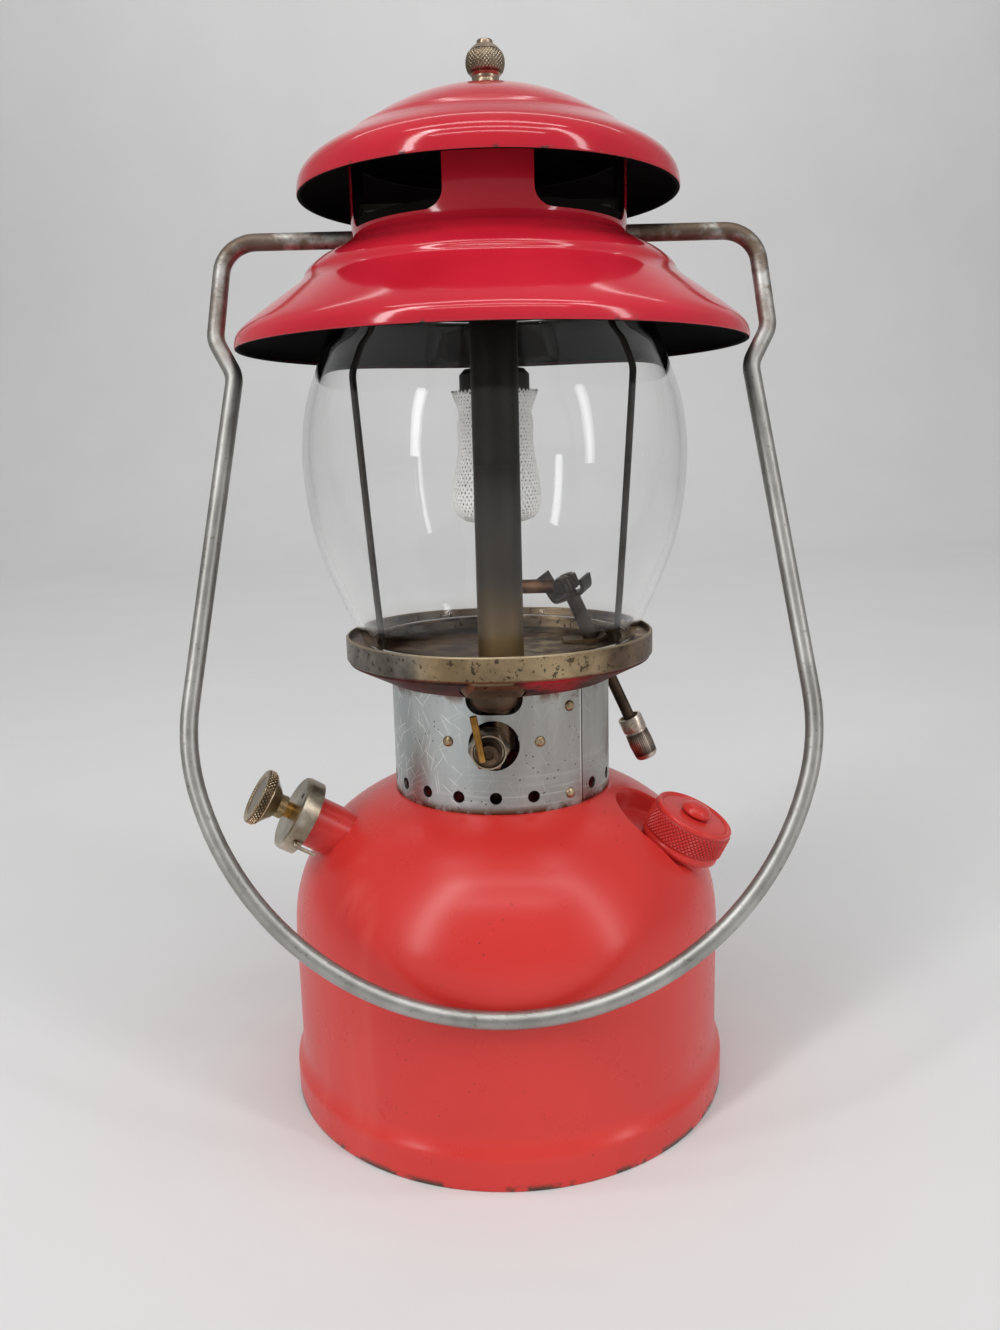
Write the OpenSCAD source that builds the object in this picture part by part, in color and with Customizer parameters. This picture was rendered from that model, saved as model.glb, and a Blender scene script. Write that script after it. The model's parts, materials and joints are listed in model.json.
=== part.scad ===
// Pressurised mantle lantern with pump, filler, globe, ventilator and bail
// Lengths in millimetres, angles in degrees
// Origin at the centre of the base on the table, +Z up, -Y towards the valve

/* [Fount] */
// Radius of the straight fount wall
fount_r = 68.6; // [67:0.2:72]
// How far the foot stands out past the wall
foot_out = 2.0; // [1.6:0.2:3]
// Height of the straight foot band
foot_h = 9; // [8:0.5:10]
// Height where the wall turns into the dome
wall_top = 53; // [51:0.5:54]
// Rise of the full dome above the wall
dome_h = 50; // [49:0.5:52]
// Roundness of the dome, 2 is an ellipse
dome_power = 2.3; // [2.2:0.05:2.4]
// Thickness of the pressed fount sheet
fount_t = 0.9; // [0.7:0.1:1.2]

/* [Filler] */
// Turn of the filler from +X
filler_az = -18.7; // [-24:0.5:-12]
// Lean of the filler from upright
filler_tilt = 26; // [24:0.5:29]
// How far the cap top stands inside the fount wall
filler_in = 6.2; // [5:0.2:7.4]
// Height of the cap top above the dome
filler_rise = 14.4; // [12.4:0.2:16.4]
// Outside diameter of the filler cap
filler_cap_d = 25.8; // [24.5:0.1:27]
// Height of the filler cap
filler_cap_h = 11.5; // [10.5:0.1:12.5]
// Outside diameter of the filler neck
filler_neck_d = 20.4; // [19.6:0.1:21]
// Radius of the pressed pocket round the filler
pocket_r = 21.5; // [19:0.5:22]
// Diameter of the dome screw on the cap
filler_screw_d = 9.3; // [8.5:0.1:10]
// Lift of the cap for each turn
filler_pitch = 1.5; // [1:0.1:1.6]

/* [Pump] */
// Turn of the pump from +X
pump_az = 195.5; // [192:0.5:199]
// Rise of the pump axis above level
pump_el = 32; // [30:0.5:34]
// How far the knob face stands out past the fount wall
pump_past = 9.7; // [8.5:0.1:11.3]
// Height of the knob face above the dome where the tube enters
pump_rise = 20.7; // [19:0.1:22]
// Outside diameter of the pump tube
pump_d = 16; // [15:0.1:17]
// Wall of the pump tube
pump_t = 0.8; // [0.6:0.1:1]
// Outside diameter of the pump cap
pump_cap_d = 23.5; // [22.5:0.1:25]
// Diameter of the pump knob
pump_knob_d = 17.8; // [16.5:0.1:19]
// Diameter of the hollow plunger rod
pump_rod_d = 5; // [4.8:0.1:5.6]
// Diameter of the air stem inside the rod
air_stem_d = 3; // [2.6:0.1:3.2]

/* [Collar] */
// How far the collar stands inside the globe rest
collar_in = 13.7; // [13:0.1:14.4]
// Height of the collar band
collar_h = 35.8; // [34:0.2:37]
// Thickness of the collar sheet
collar_t = 0.8; // [0.6:0.1:1]
// Diameter of the air holes
air_hole_d = 3.7; // [3:0.1:4.2]
// Number of air holes round the collar
air_holes = 19; // [15:1:20]
// Diameter of the rivet heads
rivet_d = 3.3; // [2.8:0.1:3.6]

/* [Valve] */
// Sideways place of the valve
valve_x = -3.8; // [-4:0.1:-3.4]
// Height of the valve stem above the fount
valve_up = 21; // [20:0.2:22]
// Diameter of the valve stem
valve_stem_d = 3; // [2.6:0.1:3.4]
// Diameter of the packing nut
packing_d = 11.2; // [10.6:0.1:12]
// Diameter of the lever rod
lever_d = 2.1; // [1.9:0.1:2.2]
// Length of the lever above the stem
lever_len = 11.9; // [11:0.1:12.8]

/* [Frame] */
// Outside radius of the globe rest
frame_r = 48; // [47.4:0.1:49]
// Rise of the cone ring from the collar to the frame floor
ring_h = 6.6; // [6:0.1:7.2]
// Height of the globe seat above the frame floor
seat_h = 4.8; // [4.4:0.1:5.4]
// Rise of the globe rest's rim above the globe seat
lip_h = 1.8; // [1.4:0.1:2.4]
// Thickness of the frame sheet
frame_t = 0.8; // [0.7:0.1:1]
// Diameter of the upright wires
wire_d = 2.2; // [2:0.1:2.4]

/* [Burner] */
// Sideways place of the air tube and burner
burner_x = 0.4; // [0:0.1:0.8]
// How far the air tube stands inside the globe rest
tube_in = 18.5; // [18:0.1:19]
// Outside diameter of the air tube
tube_d = 13.1; // [12.6:0.1:13.6]
// Wall of the air tube
tube_t = 0.8; // [0.6:0.1:1]
// Outside diameter of the generator
gen_d = 7; // [6.4:0.1:7.4]
// Outside diameter of the tube cup
cup_d = 16; // [15.4:0.1:16.4]
// Sideways place of the tube cup
cup_x = -2; // [-2.4:0.1:-1.6]
// Largest radius of the mantle bag
mantle_r = 13.7; // [13:0.1:14.4]
// Length of the mantle
mantle_h = 39.5; // [37:0.5:42]
// Thickness of the mantle cloth
mantle_t = 0.5; // [0.4:0.1:0.7]

/* [Globe] */
// Largest outside radius of the globe
globe_r = 58.1; // [57:0.1:59]
// Height of the globe
globe_h = 103.2; // [100:0.2:106]
// Thickness of the glass
glass_t = 2.2; // [1.8:0.1:2.6]

/* [Ventilator] */
// Radius of the skirt rim
skirt_r = 75.6; // [74.6:0.1:76]
// How far the ventilator neck stands inside the globe rest
neck_in = 7.7; // [7.2:0.1:8.2]
// Reach of the cap's rim as a share of the neck radius
cap_spread = 1.377; // [1.36:0.005:1.395]
// Thickness of the ventilator sheet
vent_t = 0.9; // [0.7:0.1:1]
// Rise of the ventilator above the globe
vent_h = 55.3; // [54:0.1:57]
// Radius of the ball nut
ball_r = 5.75; // [5.4:0.05:6.2]
// Diameter of the centre stud
stud_d = 4.8; // [4.4:0.1:5]

/* [Bail] */
// Diameter of the bail wire
bail_d = 5; // [4.6:0.1:5.2]
// Height of the bail pivot above the globe
bail_up = 15.8; // [15.4:0.1:16.4]
// Radius of the bow
bow_r = 88; // [87:0.5:89]
// Half angle of the bow
bow_half = 71.4; // [71:0.1:71.8]
// Radius where the bow turns up into the sides
hip_r = 60; // [50:1:62]
// Outward lean of the sides
side_lean = 7; // [6.8:0.1:7.2]

/* [Lighter] */
// Distance of the lighter behind the axis
lighter_y = 14; // [13:0.5:15]
// How far the striker wheel stands inside the globe rest
lighter_in = 25.1; // [24.4:0.1:25.8]
// Lean of the lighter rod from upright
lighter_lean = 24; // [23:0.5:25]
// Diameter of the lighter rod
lighter_rod_d = 3.8; // [3.4:0.1:4]
// Diameter of the lighter knob
lighter_knob_d = 8.5; // [8:0.1:9]
// Radius of the striker wheel
striker_r = 4; // [3.6:0.1:4.2]

/* [Fits] */
// Radial gap where two pieces are pressed or screwed together
fit = 0.08; // [0.05:0.01:0.1]
// Radial gap where a shaft turns or slides
run_fit = 0.08; // [0.05:0.01:0.1]
// Gap where pieces only pass each other
free_gap = 0.4; // [0.35:0.05:0.5]

/* [Hidden] */
$fn = 64;

// Radii tied to the globe rest
collar_r = frame_r - collar_in;
neck_r = frame_r - neck_in;
cap_r = neck_r * cap_spread;
globe_foot_r = frame_r - 5.6;
globe_mouth_r = neck_r + 3.5;

// Fount values
function dome_at(r) = wall_top + dome_h * pow(1 - pow(r / fount_r, dome_power), 1 / dome_power);
foot_r = fount_r + foot_out;
seat_r = collar_r + 0.8;
dome_end = acos(pow(seat_r / fount_r, dome_power / 2));
dome_steps = 22;
fount_top = wall_top + dome_h * pow(sin(dome_end), 2 / dome_power);
fount_in = fount_r - fount_t;
dome_in_end = acos(pow(seat_r / fount_in, dome_power / 2));
fount_under = wall_top + (dome_h - fount_t) * pow(sin(dome_in_end), 2 / dome_power);

// Heights from the fount up
collar_top = fount_top + collar_h;
floor_under = collar_top + ring_h;
floor_z = floor_under + frame_t;
globe_base = floor_z + seat_h;
globe_top = globe_base + globe_h;
vent_top = globe_top + vent_h;
bail_z = globe_top + bail_up;

// Filler values measured down its own axis from the cap top
filler_out = fount_r - filler_in;
filler_top = dome_at(filler_out) + filler_rise;
pocket_floor = filler_cap_h + 1.5;
filler_cap_top = 2;
insert_top = filler_cap_top + 0.1;
insert_edge = insert_top + 1;
gasket_low = insert_edge + 1;
neck_end = pocket_floor + 11;
filler_shank_r = 2.4;

// Pump values measured down its own axis from the knob face
pump_out = fount_r + pump_past;
pump_top = dome_at(fount_r * 0.875) + pump_rise;
pump_r = pump_d / 2;
pump_bore = pump_r - pump_t;
pump_cap_face = 12;
pump_cap_back = 17.5;
pump_tube_start = pump_cap_face + 1.2;
pump_tube_end = 118;
rod_start = 4;
rod_end = 104;
rod_bore = air_stem_d / 2 + run_fit;
leather_face = 97;
check_face = pump_tube_end - 7;

// Valve and collar values
tube_y = frame_r - tube_in;
valve_z = fount_top + valve_up;
cup_low = collar_top - 5.3;
boss_y = -(tube_y - 7.5);
boss_top = fount_top + 7;
valve_r = 5.4;
outlet_r = gen_d / 2 - 0.2;
valve_face = -(tube_y + outlet_r + 0.1);
packing_step = valve_face - 3;
packing_end = packing_step - 4;
hub_back = packing_end - 1.4;
hub_front = hub_back - 2.8;
hub_r = 2.8;
stem_ring_r = 3.9;
outlet_top = cup_low - 1.5;
lever_side = 2;
lever_turn = 10.6;
lever_low = -1.5;
valve_hole_r = packing_d / 2 + 1.9;
valve_hole_x = valve_x + 1.5;
hole_row = fount_top + 5;
fuel_tube_r = 3;
rivet_shank = rivet_d / 2 - 0.45;

// Frame values
band_top = globe_base + lip_h;
ledge_in = frame_r - 9.2;
ledge_under = globe_base - frame_t;
lobe_low = floor_under - 6.2;
lobe_y = -(tube_y + 6);
lobe_front = -(frame_r - 1.4);
wire_foot_x = ledge_in - wire_d / 2 - 0.3;
ear_out = neck_r - vent_t - 2;
ear_in = ear_out - 1.2;
wire_top_x = ear_in - wire_d / 2 - fit;
wire_wide_x = globe_r - 15.5;
wire_wide_z = globe_top - 22.2;
bridge_low = bail_z + 7;
bridge_t = 1.6;
ear_half = 6;
ear_foot = bail_z - 9;

// Burner values
tube_r = tube_d / 2;
tube_top = globe_top - 6.2;
bend_r = tube_y / 2;
burner_r = 10.6;
burner_top = tube_top - 16;
burner_low = burner_top - 19;
tie_z = burner_low + 6;
mantle_top = tie_z + 7;
jet_low = tube_top - 15;

// Ventilator values
round_r = 1.18 * cap_r;
cap_fall = round_r - sqrt(round_r * round_r - neck_r * neck_r);
neck_top = vent_top - cap_fall - vent_t - 0.75;
sill_z = bail_z + 0.5;
rim_z = globe_top - 0.293 * vent_h;
liner_in = neck_r - vent_t - 0.8;
stud_top = vent_top + 7;
ball_z = vent_top + 7.5;

// Bail values
bail_in = ear_in - 1.2;
bail_reach = fount_r + bail_d / 2 + 0.35;
bail_len = norm([bail_reach, bail_z - wall_top]);
bail_rest = asin(bail_reach / bail_len);
rim_fall = bail_z - rim_z;
shoulder_x = skirt_r + 2.6;
kink_out = [skirt_r + 5, 2 - rim_fall];
kink_in = [skirt_r - 0.8, -9 - rim_fall];
bow_corner = -(bail_len - bow_r + bow_r / cos(bow_half));
hip_run = (kink_in[0] + (kink_in[1] - bow_corner) * tan(side_lean))
    / (cos(bow_half) + sin(bow_half) * tan(side_lean));
hip = [hip_run * cos(bow_half), bow_corner + hip_run * sin(bow_half)];

// Lighter values measured along the rod from the striker wheel
wheel_x = frame_r - lighter_in;
wheel_z = floor_z + 18.2;
knob_end = -64.3;
knob_top = -53.9;
knob_collar = -48.9;
guide_r = 3.2;
flint_r = 2.25;
lighter_foot_t = 1;

// Points of a dome with the given size between two angles
function dome(r, h, a0, a1, n) = [for (i = [0:n]) let (a = a0 + (a1 - a0) * i / n)
    [r * pow(cos(a), 2 / dome_power), wall_top + h * pow(sin(a), 2 / dome_power)]];

// Smooth run through a list of points
function smooth_at(p0, p1, p2, p3, t) = 0.5 * (2 * p1 + (p2 - p0) * t
    + (2 * p0 - 5 * p1 + 4 * p2 - p3) * t * t + (3 * p1 - p0 - 3 * p2 + p3) * t * t * t);
function smooth(p, n) = concat([for (i = [0:len(p) - 2]) for (k = [0:n - 1])
    smooth_at(p[max(i - 1, 0)], p[i], p[i + 1], p[min(i + 2, len(p) - 1)], k / n)],
    [p[len(p) - 1]]);

// Points moved sideways off a run by a thickness, for sheet sections
function side_step(p, i, t) = let (a = p[max(i - 1, 0)], b = p[min(i + 1, len(p) - 1)],
    d = (b - a) / norm(b - a)) [max(0, p[i][0] + d[1] * t), p[i][1] - d[0] * t];
function sheet(p, t) = concat(p, [for (i = [len(p) - 1:-1:0]) side_step(p, i, t)]);

// Heading of one leg of a wire and the turn at one corner
function heading(p, i) = atan2(p[i + 1][1] - p[i][1], p[i + 1][0] - p[i][0]);
function wrap(a) = a > 180 ? a - 360 : a < -180 ? a + 360 : a;
function turn(p, i) = wrap(heading(p, i) - heading(p, i - 1));
function cut(p, r, i) = i == 0 || i == len(p) - 1 ? 0 : r[i] * tan(abs(turn(p, i)) / 2);

// Round wire in the XZ plane through corners with bend radii
// Each straight leg is a hair thinner and runs a little way into its bends
leg_slack = 0.03;
function lap(p, r, i) = cut(p, r, i) == 0 ? 0 : sqrt(2 * r[i] * leg_slack / 3);
module wire(p, r, d) {
    for (i = [0:len(p) - 2]) {
        h = heading(p, i);
        a = cut(p, r, i) - lap(p, r, i);
        b = cut(p, r, i + 1) - lap(p, r, i + 1);
        translate([p[i][0] + a * cos(h), 0, p[i][1] + a * sin(h)])
            rotate([0, 90 - h, 0])
                cylinder(d = d - leg_slack, h = norm(p[i + 1] - p[i]) - a - b);
    }
    for (i = [1:len(p) - 2]) {
        h = heading(p, i - 1);
        s = turn(p, i) > 0 ? 1 : -1;
        a = cut(p, r, i);
        start = s > 0 ? h - 90 : h + turn(p, i) + 90;
        translate([p[i][0] - a * cos(h) - s * r[i] * sin(h), 0,
            p[i][1] - a * sin(h) + s * r[i] * cos(h)])
            rotate([0, -start, 0])
                rotate([90, 0, 0])
                    rotate_extrude(angle = abs(turn(p, i)))
                        translate([r[i], 0])
                            circle(d = d);
    }
}

// Hollow round bar between two heights
module pipe(r_out, r_in, z0, z1) {
    translate([0, 0, z0])
        difference() {
            cylinder(r = r_out, h = z1 - z0);
            translate([0, 0, -1])
                cylinder(r = r_in, h = z1 - z0 + 2);
        }
}

// Solid round bar between two heights
module bar(r, z0, z1) {
    translate([0, 0, min(z0, z1)])
        cylinder(r = r, h = abs(z1 - z0));
}

// Places with their own axes
module at_filler() {
    translate([filler_out * cos(filler_az), filler_out * sin(filler_az), filler_top])
        rotate([0, 0, filler_az])
            rotate([0, filler_tilt, 0])
                children();
}

module at_pump() {
    translate([pump_out * cos(pump_az), pump_out * sin(pump_az), pump_top])
        rotate([0, 0, pump_az])
            rotate([0, 90 - pump_el, 0])
                children();
}

module at_valve() {
    translate([valve_x, 0, valve_z])
        rotate([90, 0, 0])
            children();
}

module at_lighter() {
    translate([wheel_x, lighter_y, wheel_z])
        rotate([0, -lighter_lean, 0])
            children();
}

module at_tube() {
    translate([burner_x, -tube_y, 0])
        children();
}

module at_burner() {
    translate([burner_x, 0, 0])
        children();
}

module at_cup() {
    translate([cup_x, -tube_y, 0])
        children();
}

// Fount

module fount_shell() {
    color("#c0432f")
        difference() {
            difference() {
                rotate_extrude()
                    polygon(concat([[0, 0], [foot_r, 0], [foot_r, foot_h],
                        [fount_r + foot_out * 0.72, foot_h + 1.8],
                        [fount_r + foot_out * 0.2, foot_h + 4.4], [fount_r, foot_h + 7]],
                        dome(fount_r, dome_h, 0, dome_end, dome_steps), [[0, fount_top]]));
                at_filler()
                    bar(pocket_r, -pocket_floor, 30);
            }
            difference() {
                rotate_extrude()
                    polygon(concat([[0, -1], [foot_r - fount_t, -1], [foot_r - fount_t, foot_h],
                        [fount_in, foot_h]],
                        dome(fount_in, dome_h - fount_t, 0, dome_in_end, dome_steps),
                        [[0, fount_under]]));
                at_filler()
                    bar(pocket_r + fount_t, -pocket_floor - fount_t, 30);
            }
            at_filler()
                bar(filler_neck_d / 2 + fit, -neck_end - 4, 0);
            at_pump()
                bar(pump_r + fit, -pump_tube_end, 0);
            translate([valve_x, boss_y, 0])
                bar(5 + fit, fount_under - 2, fount_top + 1);
        }
}

module fount_bottom() {
    rim_r = foot_r - fount_t - fit;
    color("#a33a2a")
        rotate_extrude()
            polygon(sheet([[0, foot_h + 4], [50, foot_h + 4], [56, foot_h], [rim_r, foot_h],
                [rim_r, 1.2]], fount_t));
}

// Filler

module filler_neck() {
    color("#b8402c")
        at_filler()
            pipe(filler_neck_d / 2, filler_neck_d / 2 - 1.6, -neck_end, -gasket_low);
}

module filler_insert() {
    color("#b5914c")
        at_filler()
            difference() {
                union() {
                    bar(filler_neck_d / 2, -insert_edge, -insert_top);
                    bar(filler_neck_d / 2 - 2.3, -insert_edge - 5, -insert_edge);
                }
                bar(filler_shank_r + fit, -insert_edge - 4, 0);
            }
}

module filler_gasket() {
    color("#2a2624")
        at_filler()
            pipe(filler_neck_d / 2, filler_neck_d / 2 - 2.3 + fit, -gasket_low, -insert_edge);
}

module filler_screw() {
    head_r = filler_screw_d / 2;
    color("#c8b078")
        at_filler() {
            rotate_extrude()
                polygon([[0, 0.1], [head_r, 0.1], [head_r, 0.8], [head_r * 0.93, 1.7],
                    [head_r * 0.76, 2.5], [head_r * 0.48, 3.1], [head_r * 0.2, 3.35], [0, 3.4]]);
            bar(filler_shank_r, -insert_edge - 3.8, 0.1);
        }
}

module filler_cap() {
    cap_r0 = filler_cap_d / 2;
    color("#b8402c")
        at_filler()
            difference() {
                rotate_extrude()
                    polygon([[0, 0], [cap_r0 - 1.4, 0], [cap_r0 - 0.4, -0.4], [cap_r0, -1.3],
                        [cap_r0, -filler_cap_h + 2.4], [cap_r0 - 0.5, -filler_cap_h + 2.2],
                        [cap_r0 - 0.5, -filler_cap_h], [0, -filler_cap_h]]);
                bar(filler_neck_d / 2 + free_gap, -filler_cap_h - 1, -filler_cap_top);
                bar(filler_shank_r + run_fit, -filler_cap_top - 1, 1);
            }
}

// Pump

module pump_tube() {
    color("#b8402c")
        at_pump()
            pipe(pump_r, pump_bore, -pump_tube_end, -pump_tube_start);
}

module pump_cap() {
    edge = pump_cap_d / 2;
    hole = pump_rod_d / 2 + run_fit;
    color("#a9a08c")
        at_pump()
            difference() {
                rotate_extrude()
                    polygon([[hole, -pump_cap_face], [edge - 1.2, -pump_cap_face],
                        [edge - 0.35, -pump_cap_face - 0.35], [edge, -pump_cap_face - 1.2],
                        [edge, -pump_cap_back], [edge - 0.9, -pump_cap_back],
                        [edge - 0.9, -pump_tube_start], [pump_r + 1, -pump_tube_start],
                        [pump_r + 1, -pump_cap_back + 0.5],
                        [pump_r + fit, -pump_cap_back + 0.5],
                        [pump_r + fit, -pump_tube_start], [hole, -pump_tube_start]]);
                rotate([0, 0, 62])
                    translate([edge - 2, 0, -pump_cap_face - 3.2])
                        rotate([0, 90, 0])
                            bar(0.6 + fit, 0, 4);
                rotate([0, 0, 150])
                    translate([edge - 4, 0, 0])
                        bar(0.9, -pump_cap_face - 2, 0);
            }
}

module pump_clip() {
    out = pump_cap_d / 2;
    low = -pump_cap_face - 3.2;
    color("#8d8676")
        at_pump()
            rotate([0, 0, 62])
                wire([[out - 0.85, low], [out + 1.6, low], [out + 1.6, low - 7]],
                    [0, 1.2, 0], 1.2);
}

module check_valve() {
    color("#b5914c")
        at_pump()
            difference() {
                bar(pump_bore - fit, -pump_tube_end, -check_face);
                bar(air_stem_d / 2 + run_fit, -check_face - 5, -check_face + 1);
            }
}

module air_stem() {
    color("#b5914c")
        at_pump()
            bar(air_stem_d / 2, -check_face - 4.8, -26);
}

module pump_rod() {
    color("#c2a15c")
        at_pump()
            pipe(pump_rod_d / 2, rod_bore, -rod_end, -rod_start);
}

module pump_knob() {
    edge = pump_knob_d / 2;
    color("#b0a68f")
        at_pump()
            difference() {
                rotate_extrude()
                    polygon([[0, -0.4], [edge - 2.6, -0.4], [edge - 2.2, 0], [edge - 0.6, 0],
                        [edge, -0.6], [edge, -2.8], [edge - 0.6, -3.4], [4.6, -6.4],
                        [3.7, -7], [3.7, -9.6], [0, -9.6]]);
                bar(pump_rod_d / 2 + fit, -11, -rod_start);
            }
}

module pump_leather() {
    color("#6b4a2e")
        at_pump()
            rotate_extrude()
                polygon([[pump_rod_d / 2 + fit, -leather_face],
                    [pump_bore - run_fit, -leather_face],
                    [pump_bore - run_fit, -leather_face - 6],
                    [pump_bore - run_fit - 0.9, -leather_face - 6],
                    [pump_bore - run_fit - 0.9, -leather_face - 1.4],
                    [pump_rod_d / 2 + fit, -leather_face - 1.4]]);
}

module pump_nut() {
    color("#b5914c")
        at_pump()
            pipe(4.2, pump_rod_d / 2 + fit, -leather_face - 4.4, -leather_face - 1.4);
}

// Fuel way and valve

module fuel_tube() {
    color("#b5914c")
        translate([valve_x, boss_y, 0])
            pipe(fuel_tube_r, fuel_tube_r - 0.8, foot_h + 7, boss_top - 1);
}

module valve_boss() {
    color("#a58a52")
        translate([valve_x, boss_y, 0])
            difference() {
                union() {
                    bar(5, fount_top - 4, fount_top + 1);
                    bar(8.2, fount_top, fount_top + 2.5);
                    translate([0, 0, fount_top + 1.5])
                        cylinder(r = 7.2, h = boss_top - fount_top - 1.5, $fn = 6);
                }
                bar(fuel_tube_r + fit, fount_top - 6, boss_top - 1);
                bar(fuel_tube_r - 0.8, boss_top - 2, boss_top + 1);
            }
}

module valve_body() {
    color("#a58a52")
        difference() {
            union() {
                translate([valve_x, boss_y, 0])
                    bar(valve_r - 0.5, boss_top, valve_z);
                at_valve()
                    bar(valve_r, 14, -valve_face);
                at_tube()
                    bar(outlet_r, valve_z - 2, outlet_top);
            }
            at_valve()
                bar(valve_stem_d / 2 + run_fit, 24, -valve_face + 1);
            at_tube()
                bar(gen_d / 2 - 1.3, valve_z + 2.6, outlet_top + 1);
            translate([valve_x, boss_y, 0])
                bar(fuel_tube_r - 0.8, boss_top - 1, valve_z - 2.6);
        }
}

module packing_nut() {
    color("#a99a78")
        at_valve()
            difference() {
                union() {
                    bar(packing_d / 2, -valve_face, -packing_step);
                    bar(packing_d / 2 - 1, -packing_step, -packing_end);
                }
                bar(valve_stem_d / 2 + run_fit, -valve_face - 1, -packing_end + 1);
            }
}

module lever_rod(r, low, high) {
    translate([valve_x, hub_front + 0.5, valve_z])
        rotate([0, -lever_turn, 0])
            translate([-lever_side, 0, 0])
                bar(r, low, high);
}

module valve_stem() {
    color("#a99a78")
        difference() {
            at_valve()
                difference() {
                    union() {
                        bar(valve_stem_d / 2, 24.5, -hub_back);
                        bar(stem_ring_r, -packing_end + 0.15, -hub_back);
                        bar(hub_r, -hub_back - 0.2, -hub_front);
                    }
                    bar(1.5, -hub_front - 1.2, -hub_front + 1);
                }
            lever_rod(lever_d / 2 + fit, lever_low - fit, hub_r + 1);
        }
}

module valve_lever() {
    color("#9a7a3c")
        lever_rod(lever_d / 2, lever_low, lever_len);
}

// Collar and frame

function rivet_places() = [[-27.4, valve_z + 0.8], [19, valve_z + 0.6], [36, collar_top - 4.8],
    [36, hole_row - 0.7]];

module collar_band() {
    color("#b9b6ae")
        difference() {
            pipe(collar_r, collar_r - collar_t, fount_top, collar_top);
            translate([valve_hole_x, 0, valve_z])
                rotate([90, 0, 0])
                    bar(valve_hole_r, 20, 50);
            for (i = [0:air_holes - 1])
                if (i != 2)
                    rotate([0, 0, i * 360 / air_holes - 3.6])
                        translate([0, 0, hole_row])
                            rotate([90, 0, 0])
                                bar(air_hole_d / 2, 25, 45);
            for (p = rivet_places())
                rotate([0, 0, p[0]])
                    translate([0, 0, p[1]])
                        rotate([90, 0, 0])
                            bar(rivet_shank + fit, 25, 45);
            at_cup()
                bar(cup_d / 2 + free_gap, cup_low - free_gap, collar_top + 5);
        }
}

module collar_rivets() {
    head = rivet_d / 2;
    seat = collar_r + 0.05;
    color("#b08d4a")
        for (p = rivet_places())
            rotate([0, 0, p[0]])
                translate([0, 0, p[1]])
                    rotate([90, 0, 0]) {
                        bar(rivet_shank, collar_r - collar_t - 0.9, seat);
                        rotate_extrude()
                            polygon([[0, seat], [head, seat], [head * 0.9, seat + 0.5],
                                [head * 0.55, seat + 0.9], [0, seat + 1.05]]);
                    }
}

module frame_ring() {
    rise = floor_under - collar_top;
    color("#7a3a2c")
        difference() {
            rotate_extrude()
                polygon([[collar_r - 1.3, collar_top], [collar_r + 1.3, collar_top],
                    [frame_r - 0.8, floor_under - 0.7], [frame_r - 0.8, floor_under],
                    [frame_r - 3.4, floor_under], [collar_r + 1, collar_top + rise * 0.18],
                    [collar_r - 1.3, collar_top + rise * 0.12]]);
            at_cup()
                bar(cup_d / 2 + free_gap, cup_low, floor_z + 5);
            lobe_cone(free_gap);
            at_lighter()
                bar(lighter_rod_d / 2 + free_gap, -45, -10);
        }
}

// Tapered space of the swelling that runs from the rim down to the cup
module lobe_cone(gap) {
    translate([cup_x, lobe_y, lobe_low - gap])
        cylinder(r1 = cup_d / 2 + gap, r2 = cup_d / 2 + 5 + gap, h = floor_under + 0.2 - lobe_low + gap);
}

module frame_lobe() {
    front = -tube_y - cup_d / 2 - 0.9;
    difference() {
        intersection() {
            lobe_cone(0);
            rotate([90, 0, 90])
                linear_extrude(height = 60, center = true)
                    polygon([[lobe_front, floor_under + 0.2], [lobe_front, floor_under - 0.8],
                        [lobe_front + 1.6, floor_under - 2.4], [front, lobe_low + 0.2],
                        [-tube_y, lobe_low + 0.2], [-tube_y, floor_under + 0.2]]);
        }
        at_cup()
            bar(cup_d / 2 + fit, cup_low - 1, floor_z + 1);
    }
}

module frame_base() {
    band_in = frame_r - frame_t;
    color("#8a6a4c") {
        frame_lobe();
        difference() {
            rotate_extrude()
                polygon([[0, floor_under], [frame_r - 0.6, floor_under],
                    [frame_r, floor_under + 0.6], [frame_r, band_top - 0.4],
                    [frame_r - 0.4, band_top], [band_in, band_top], [band_in, globe_base],
                    [ledge_in, globe_base], [ledge_in, ledge_under], [band_in, ledge_under],
                    [band_in, floor_z], [0, floor_z]]);
            at_tube()
                bar(tube_r + fit, floor_under - 1, floor_z + 1);
            for (s = [-1, 1])
                translate([s * wire_foot_x, 0, 0])
                    bar(wire_d / 2 + fit, floor_under - 1, floor_z + 1);
            at_lighter()
                bar(lighter_rod_d / 2 + free_gap, -30, -10);
        }
    }
}

module tube_cup() {
    edge = cup_d / 2;
    color("#4a3526")
        difference() {
            at_cup()
                rotate_extrude()
                    polygon([[0, cup_low], [edge - 1.6, cup_low], [edge - 0.5, cup_low + 0.6],
                        [edge, cup_low + 1.7], [edge, floor_under], [edge - 0.8, floor_under],
                        [edge - 0.8, cup_low + 1.8], [edge - 1.8, cup_low + 0.8],
                        [0, cup_low + 0.8]]);
            at_tube()
                bar(gen_d / 2 + 0.9, cup_low - 1, cup_low + 5);
        }
}

module frame_wires() {
    run = [[wire_foot_x, floor_under - 1], [wire_foot_x, floor_z + 2.3],
        [wire_wide_x, wire_wide_z], [wire_top_x, globe_top - 3.2],
        [wire_top_x, bail_z - bail_d / 2 - 1]];
    color("#3a322c")
        for (a = [0, 180])
            rotate([0, 0, a])
                wire(run, [0, 8, 8, 8, 0], wire_d);
}

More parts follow.
